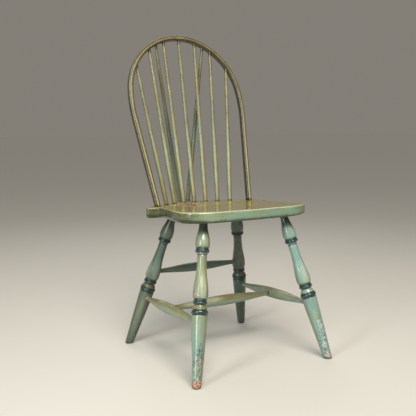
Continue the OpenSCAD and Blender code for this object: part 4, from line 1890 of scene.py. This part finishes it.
    def build(self) -> Object:
        """Sweep the section along the path, square its feet to the plank and add the tenons.

        Returns:
            The hoop.
        """
        across, up, back = self.directions()
        origin = self.foot() * (0, 1, 1)
        path, (section, kinds) = self.path(), self.section()
        rings = []
        for u, v, a in path:
            sideways = np.outer(u + section[:, 0] * math.cos(a), across)
            upwards = np.outer(v - section[:, 0] * math.sin(a), up)
            rings.append(origin + (sideways + upwards + np.outer(section[:, 1], back)) * MM)
        right_top, right_tip = self.square_foot(rings[0], 1, origin)
        left_top, left_tip = self.square_foot(rings[-1], -1, origin)
        stack = [right_tip, right_top, *rings, left_top, left_tip]
        lengths = np.concatenate([[0], np.cumsum(np.hypot(*np.diff(path[:, :2], axis=0).T))])
        around = np.array([0.0, 0.0, *lengths, lengths[-1], lengths[-1]])
        made = add_object("painted_bow", np.vstack(stack), ring_faces(len(stack), len(section)))
        self.face_outwards(made.data)
        self.wear(made.data, section, kinds, around)
        return dress(made, "bow", self.paint)

    def face_outwards(self, mesh: Mesh) -> None:
        """Turn the skin the right way if the sweep came out inside out.

        Args:
            mesh: the hoop's mesh.
        """
        mesh.calc_loop_triangles()
        points = vertices(mesh)
        corners = np.array([t.vertices[:] for t in mesh.loop_triangles])
        a, b, c = (points[corners[:, i]] for i in range(3))
        if float(np.einsum("ij,ij->i", a, np.cross(b, c)).sum()) < 0:
            mesh.flip_normals()

    def wear(self, mesh: Mesh, section: Array, kinds: Array, lengths: Array) -> None:
        """Store the grain's coordinates and the amounts of wear, painted shade and highlight on the
        hoop's vertices.

        Args:
            mesh: the hoop's mesh.
            section: the points of its section.
            kinds: the kind of each of them.
            lengths: each ring's distance along the hoop.
        """
        rows, deep = len(lengths), self.depth / 2
        out, rearward = np.tile(section, (rows, 1)).T
        kind = np.tile(kinds, rows)
        along = np.repeat(lengths, len(section))
        put(mesh, "grain", np.column_stack([out, rearward, along]) * MM)
        inner = ramp(-out, 4.5, 7.4)
        face = ramp(-rearward, deep - 3.4, deep - 2.0)
        outer = ramp(out, 5.5, 7.4) * (1 - face)
        low = 1 - ramp(np.abs(along / lengths.max() - 0.5), 0.2, 0.42)
        grooves = np.maximum(-kind, 0) * (1 - 0.25 * low)
        # The grooves darken with soiling and painted shade, the inner and outer sides with painted
        # shade.
        grime = grooves * self.groove_dirt_and_shade + self.inner_side_shade * inner + self.outer_side_shade * outer
        put_wear(mesh, {
            Wear.GLAZE: np.clip(face + self.back_glaze * (1 - inner), 0, 1),
            # the bead lighter, as worn paint with a painted highlight, less so towards the crown
            Wear.PALE: np.where(kind > 0.9, self.bead_pale_highlight * (1 - 0.9 * low), 0.0),
            Wear.GRIME: np.clip(grime, 0, 1),
            Wear.SPECK: np.full(len(kind), self.specks),
        })


@dataclass
class Spindles:
    """The seven spindles of the back and the two brace spindles behind them."""

    paint: Material
    shaded_brace_paint: Material
    count: int = 7
    first_seed: float = 20.0
    first_brace_seed: float = 40.0
    socket: float = 18.5
    foot_d: float = 14
    swell_d: float = 14.8
    swell_h: float = 80
    tip_d: float = 9.5
    tip_socket: float = 12.5
    plain_tip: float = 14
    around: int = 32
    unevenness: float = 0.5
    olive_side: float = 30.0
    olive_amount: float = 0.7

    def outline(self, length: float) -> Turning:
        """Lay out the outline of one spindle.

        Args:
            length: its whole length with both tenons.

        Returns:
            The outline.
        """
        foot, tip, base = self.foot_d / 2, self.tip_d / 2, self.socket
        tip_end = length - self.tip_socket
        seen = length - base - self.tip_socket
        swell = np.array([self.swell_d / 2, base + self.swell_h])
        tip_start = np.array([tip, tip_end - self.plain_tip])
        out = Turning().to(foot, 0, 0, 1).to(foot, base - 1, 0, 1).to(foot, base + 0.8, 0, 0.8)
        out.to(foot, base + 2.2, 0, 0.15)
        out.curve((foot, base + 6), (foot + 0.2, base + 24), swell - (0, 30), swell, 16)
        out.curve(swell, swell + (0, seen * 0.2), (tip + 1, base + seen * 0.66), tip_start, 56)
        out.to(tip, tip_start[1], 0, 0.15).to(tip, tip_end - 7, 0, 0.55)
        out.to(tip, tip_end, 0, 1).to(tip, length, 0, 1)
        return out

    def spindle(self, node: str, seed: float, material: Material) -> Object:
        """Shave one spindle between its two sockets.

        Args:
            node: its frame node.
            seed: seed of its unevenness.
            material: its paint.

        Returns:
            The spindle.
        """
        axis = Axis.of_node(node)
        middle = axis.length * 0.5
        return TurnedPiece(
            node=node,
            slot=Slot.BACK,
            axis=axis,
            outline=self.outline(axis.length),
            material=material,
            around=self.around,
            unevenness=self.unevenness,
            seed=seed,
            olive_side=self.olive_side,
            olive_amount=self.olive_amount,
            spots=(
                Spot(Wear.GLAZE, axis.length - 40, 0, axis.length * 0.4, 60, 0.62),
                Spot(Wear.GLAZE, self.socket + 20, 0, 40, 60, 0.6),
                # a narrow painted highlight down the front of the lower spindle
                Spot(Wear.PALE, self.socket + 110, -22, 120, 4, 0.35),
                # narrow painted shade down both sides
                Spot(Wear.GRIME, middle, -112, axis.length, 2.4, 0.5),
                Spot(Wear.GRIME, middle, 72, axis.length, 1.6, 0.4),
            ),
        ).build()

    def build(self) -> list[Object]:
        """Build every spindle.

        Returns:
            The spindles, from left to right, and then the two behind them.
        """
        made = []
        for i in range(1, self.count + 1):
            made.append(self.spindle(f"spindle_{i}", self.first_seed + i, self.paint))
        for i, side in enumerate(Side):
            seed = self.first_brace_seed + i
            made.append(self.spindle(f"brace_spindle_{side.value}", seed, self.shaded_brace_paint))
        return made


# ---------------------------------------------------------------- lifted paint


@dataclass
class PaintFlakes:
    """Small curled flakes of paint that have lifted round the bare patch of the plank.

    tilt is how far a flake leans and spin how far it may turn, in radians, and smallest and largest are
    the limits of its scale along each axis.
    """

    paint: Material
    size: float = 4.4
    thickness: float = 0.14
    curl: float = 0.5
    corner_loss: float = 0.35
    steps: int = 5
    per_square_metre: float = 16000.0
    tilt: float = 0.12
    spin: float = 6.283
    smallest: Triple = (0.35, 0.3, 0.4)
    largest: Triple = (1.15, 1.0, 1.0)
    glaze: float = 0.35
    pale: float = 0.75
    seed: int = 7

    def flake(self) -> Object:
        """Build one curled flake.

        Returns:
            A small bent grid with a thickness.
        """
        steps, last, layer = self.steps, self.steps - 1, self.steps**2
        points, faces = [], []
        for side in (0, 1):
            for i in range(steps):
                for j in range(steps):
                    x, y = i / last - 0.5, j / last - 0.5
                    reach = 1.0 - self.corner_loss * (abs(x) > 0.4) * (abs(y) > 0.4)
                    lift = self.curl * (x + 0.5) ** 2
                    points.append((x * reach * self.size * MM, y * reach * self.size * MM,
                                   (lift + side * self.thickness) * MM))
        for i in range(last):
            for j in range(last):
                a = i * steps + j
                low = (a, a + 1, a + steps + 1, a + steps)
                faces.append(low)
                faces.append(tuple(v + layer for v in low)[::-1])
        rim = [*range(steps), *range(steps + last, layer, steps)]
        rim += [*range(layer - 2, layer - steps - 1, -1), *range(layer - 2 * steps, 0, -steps)]
        for a, b in zip(rim, rim[1:] + rim[:1]):
            faces.append((b, a, a + layer, b + layer))
        return add_object("flake_pattern", np.array(points), faces)

    def tree(self) -> NodeTree:
        """Build the geometry tree that scatters flakes where the plank is bare.

        Returns:
            The tree, with the inputs Geometry, Flake, Density, Seed and Finish.
        """
        group = NodeGroup(
            "lifted_flakes",
            {"Geometry": Socket.GEOMETRY, "Flake": Socket.OBJECT, "Density": Socket.NUMBER,
             "Seed": Socket.COUNT, "Finish": Socket.MATERIAL},
            {"Geometry": Socket.GEOMETRY},
            "GeometryNodeTree",
        )
        b, source = group.bench, group.entry
        bare = b.add("GeometryNodeInputNamedAttribute", {"Name": Wear.BARE.value}, data_type="FLOAT")
        amount = b.smooth(bare.outputs["Attribute"], 0.12, 0.5)
        spread = b.add("GeometryNodeDistributePointsOnFaces", {
            "Mesh": source["Geometry"],
            "Density": b.times(amount, source["Density"]),
            "Seed": source["Seed"],
        }, distribute_method="RANDOM")
        flake = {"Object": source["Flake"]}
        pattern = b.add("GeometryNodeObjectInfo", flake, transform_space="ORIGINAL")
        turn = b.drawn((-self.tilt, -self.tilt, 0.0), (self.tilt, self.tilt, self.spin))
        rotate = b.add("FunctionNodeRotateRotation", {
            "Rotation": spread.outputs["Rotation"],
            "Rotate By": turn,
        }, rotation_space="LOCAL")
        scatter = b.add("GeometryNodeInstanceOnPoints", {
            "Points": spread.outputs["Points"],
            "Instance": pattern.outputs["Geometry"],
            "Rotation": rotate.outputs[0],
            "Scale": b.drawn(self.smallest, self.largest),
        })
        b.close(scatter.outputs[0], source["Finish"], group.exit["Geometry"])
        return group.tree

    def build(self, plank: Object) -> Object:
        """Scatter the flakes over the plank's bare patch.

        Args:
            plank: the finished plank.

        Returns:
            The flakes as one piece.
        """
        pattern = self.flake()
        maker = linked("flake_bed", plank.data.copy())
        values = {
            "Flake": pattern,
            "Density": self.per_square_metre,
            "Seed": self.seed,
            "Finish": self.paint,
        }
        made = run_tree(maker, self.tree(), values, "lifted_flakes")
        bpy.data.objects.remove(pattern)
        points = vertices(made.data)
        put(made.data, "grain", points)
        made.data.materials.clear()
        made.data.materials.append(self.paint)
        amounts = {Wear.GLAZE: self.glaze, Wear.PALE: self.pale}
        for wear in Wear:
            put(made.data, wear.value, np.full(len(points), amounts.get(wear, 0.0)))
        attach(made, ROOT)
        LOG.info("lifted_flakes has %d faces", len(made.data.polygons))
        return made


# ---------------------------------------------------------------- studio


@dataclass(frozen=True)
class Lamp:
    """A rectangular lamp that looks at the middle of the chair.

    facing is its direction from the chair in degrees, 0 in front and 90 to the +X side, and rise its
    angle above the chair's middle. Its distance and its size are in metres, its power in watts, its
    colour is linear, and spread is the whole angle of its beam in degrees.
    """

    name: str
    facing: float
    rise: float
    away: float
    size: tuple[float, float]
    power: float
    colour: Triple
    spread: float

    def hang(self, middle: float) -> None:
        """Hang the lamp.

        Args:
            middle: height of the chair's middle, in metres.
        """
        data = bpy.data.lights.new(self.name, "AREA")
        data.shape, data.size, data.size_y = "RECTANGLE", self.size[0], self.size[1]
        data.spread = math.radians(self.spread)
        data.energy, data.color = self.power, self.colour
        hung = linked(self.name, data)
        hung.visible_camera = False
        a, e = math.radians(self.facing + FRONT_AZIMUTH), math.radians(self.rise)
        out = Vector((math.cos(e) * math.cos(a), math.cos(e) * math.sin(a), math.sin(e)))
        hung.location = Vector((0.0, 0.0, middle)) + self.away * out
        hung.rotation_euler = out.to_track_quat("Z", "Y").to_euler()


LAMPS = (
    Lamp("front_panel", -20, 50, 3.0, (1.7, 1.5), 43.0, (1.0, 0.98, 0.93), 120),
    Lamp("left_window", -66, 14, 2.6, (0.5, 1.65), 10.6, (0.8, 0.94, 1.0), 100),
    Lamp("rear_panel", 160, 48, 3.2, (1.6, 1.2), 7.4, (0.96, 0.98, 1.0), 120),
)


@dataclass
class Studio:
    """Camera, lamps, world and a wide floor, in metres and degrees, the lens in millimetres."""

    eye: Triple = (-1.1261, -1.7889, 0.7042)
    yaw: float = -31.27
    pitch: float = -7.06
    roll: float = -0.19
    lens: float = 60.39
    sensor: float = 36.0
    floor_half: float = 30.0
    ambient: float = 0.34
    sky: tuple[float, float, float, float] = (1.0, 0.99, 0.97, 1.0)
    middle: float = 0.45

    def camera(self) -> None:
        """Place the camera."""
        data = bpy.data.cameras.new("camera")
        data.lens, data.sensor_width = self.lens, self.sensor
        seen = linked("camera", data)
        turn = Euler((math.radians(90 + self.pitch), 0.0, math.radians(self.yaw)), "XYZ").to_matrix()
        lean = Euler((0.0, 0.0, math.radians(self.roll)), "XYZ").to_matrix()
        seen.rotation_euler = (turn @ lean).to_euler("XYZ")
        seen.location = self.eye
        bpy.context.scene.camera = seen

    def floor(self) -> None:
        """Lay the floor."""
        half = self.floor_half
        corners = np.array([(-half, -half, 0), (half, -half, 0), (half, half, 0), (-half, half, 0)])
        made = add_object("studio_floor", corners, [(0, 1, 2, 3)])
        made.data.materials.append(StudioPaper().material())

    def world(self) -> None:
        """Fill the world with soft pale light, and show it as the colour of the paper."""
        world = bpy.data.worlds.new("studio_world")
        world.use_nodes = True
        background = world.node_tree.nodes["Background"]
        b = Bench(world.node_tree)
        b.feed(background.inputs["Color"], b.blend(b.shown(), self.sky, tone(StudioPaper.colour)))
        background.inputs["Strength"].default_value = self.ambient
        bpy.context.scene.world = world

    def build(self) -> None:
        """Set up the whole studio."""
        self.camera()
        self.floor()
        self.world()
        for lamp in LAMPS:
            lamp.hang(self.middle)
        bpy.context.scene.view_settings.view_transform = "Standard"


# ---------------------------------------------------------------- the chair

PAINTS = (
    GlazedPaint("sage_paint"),
    GlazedPaint("blue_sage_paint", paint="93AB93", cool="86A79E", glaze_all=0.04),
    # darker copy of the sage paint for the rear legs and the rear stretcher: painted shade
    GlazedPaint(
        "shaded_sage_paint", paint="616F5A", cool="56706A", glaze="615D3A", pale="A3A88A",
        coat=0.35, coat_roughness=0.24,
    ),
    GlazedPaint(
        "olive_paint", paint="848A69", cool="7A9084", glaze="857742", deep_glaze="6E5C30",
        dirt_and_shade="2B2012", pale="C4BB84", glaze_all=0.1, fineness=420.0, coat=0.4, coat_roughness=0.2,
    ),
    # darker copy of the back's paint for the brace spindles: painted shade
    GlazedPaint(
        "shaded_brace_paint", paint="5F6D5A", cool="507068", glaze="6B6237", dirt_and_shade="2B2012", pale="8F9474",
        fineness=420.0,
    ),
    GlazedPaint(
        "plank_paint", paint="8C9A75", cool="84A08C", glaze="9A8839", deep_glaze="86732E",
        dirt_and_shade="252B1B", speck="45301A", primer="B4955F", wood="5C2814", glaze_all=0.06, loss_cells=62.0,
        roughness=0.38, specular=0.1, coat=0.95, coat_roughness=0.075,
    ),
    GlazedPaint("flake_paint", glaze="8A7C48"),
)


def corners(box: tuple[Vector, Vector]) -> list[list[float]]:
    """Turn a box into plain lists of numbers."""
    return [[float(v) for v in corner] for corner in box]


def main() -> None:
    """Build the studio and every piece of the chair, in order."""
    logging.basicConfig(level=logging.INFO, format="%(message)s")
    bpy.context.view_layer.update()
    Studio().build()
    leg, blue, shade, back, brace, top, flake = (paint.material() for paint in PAINTS)
    Undercarriage(leg, blue, shade, TarnishedSteel().material()).build()
    plank = Plank(top).build()
    Hoop(back).build()
    Spindles(back, brace).build()
    PaintFlakes(flake).build(plank)
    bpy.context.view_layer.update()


if __name__ == "__main__":
    main()
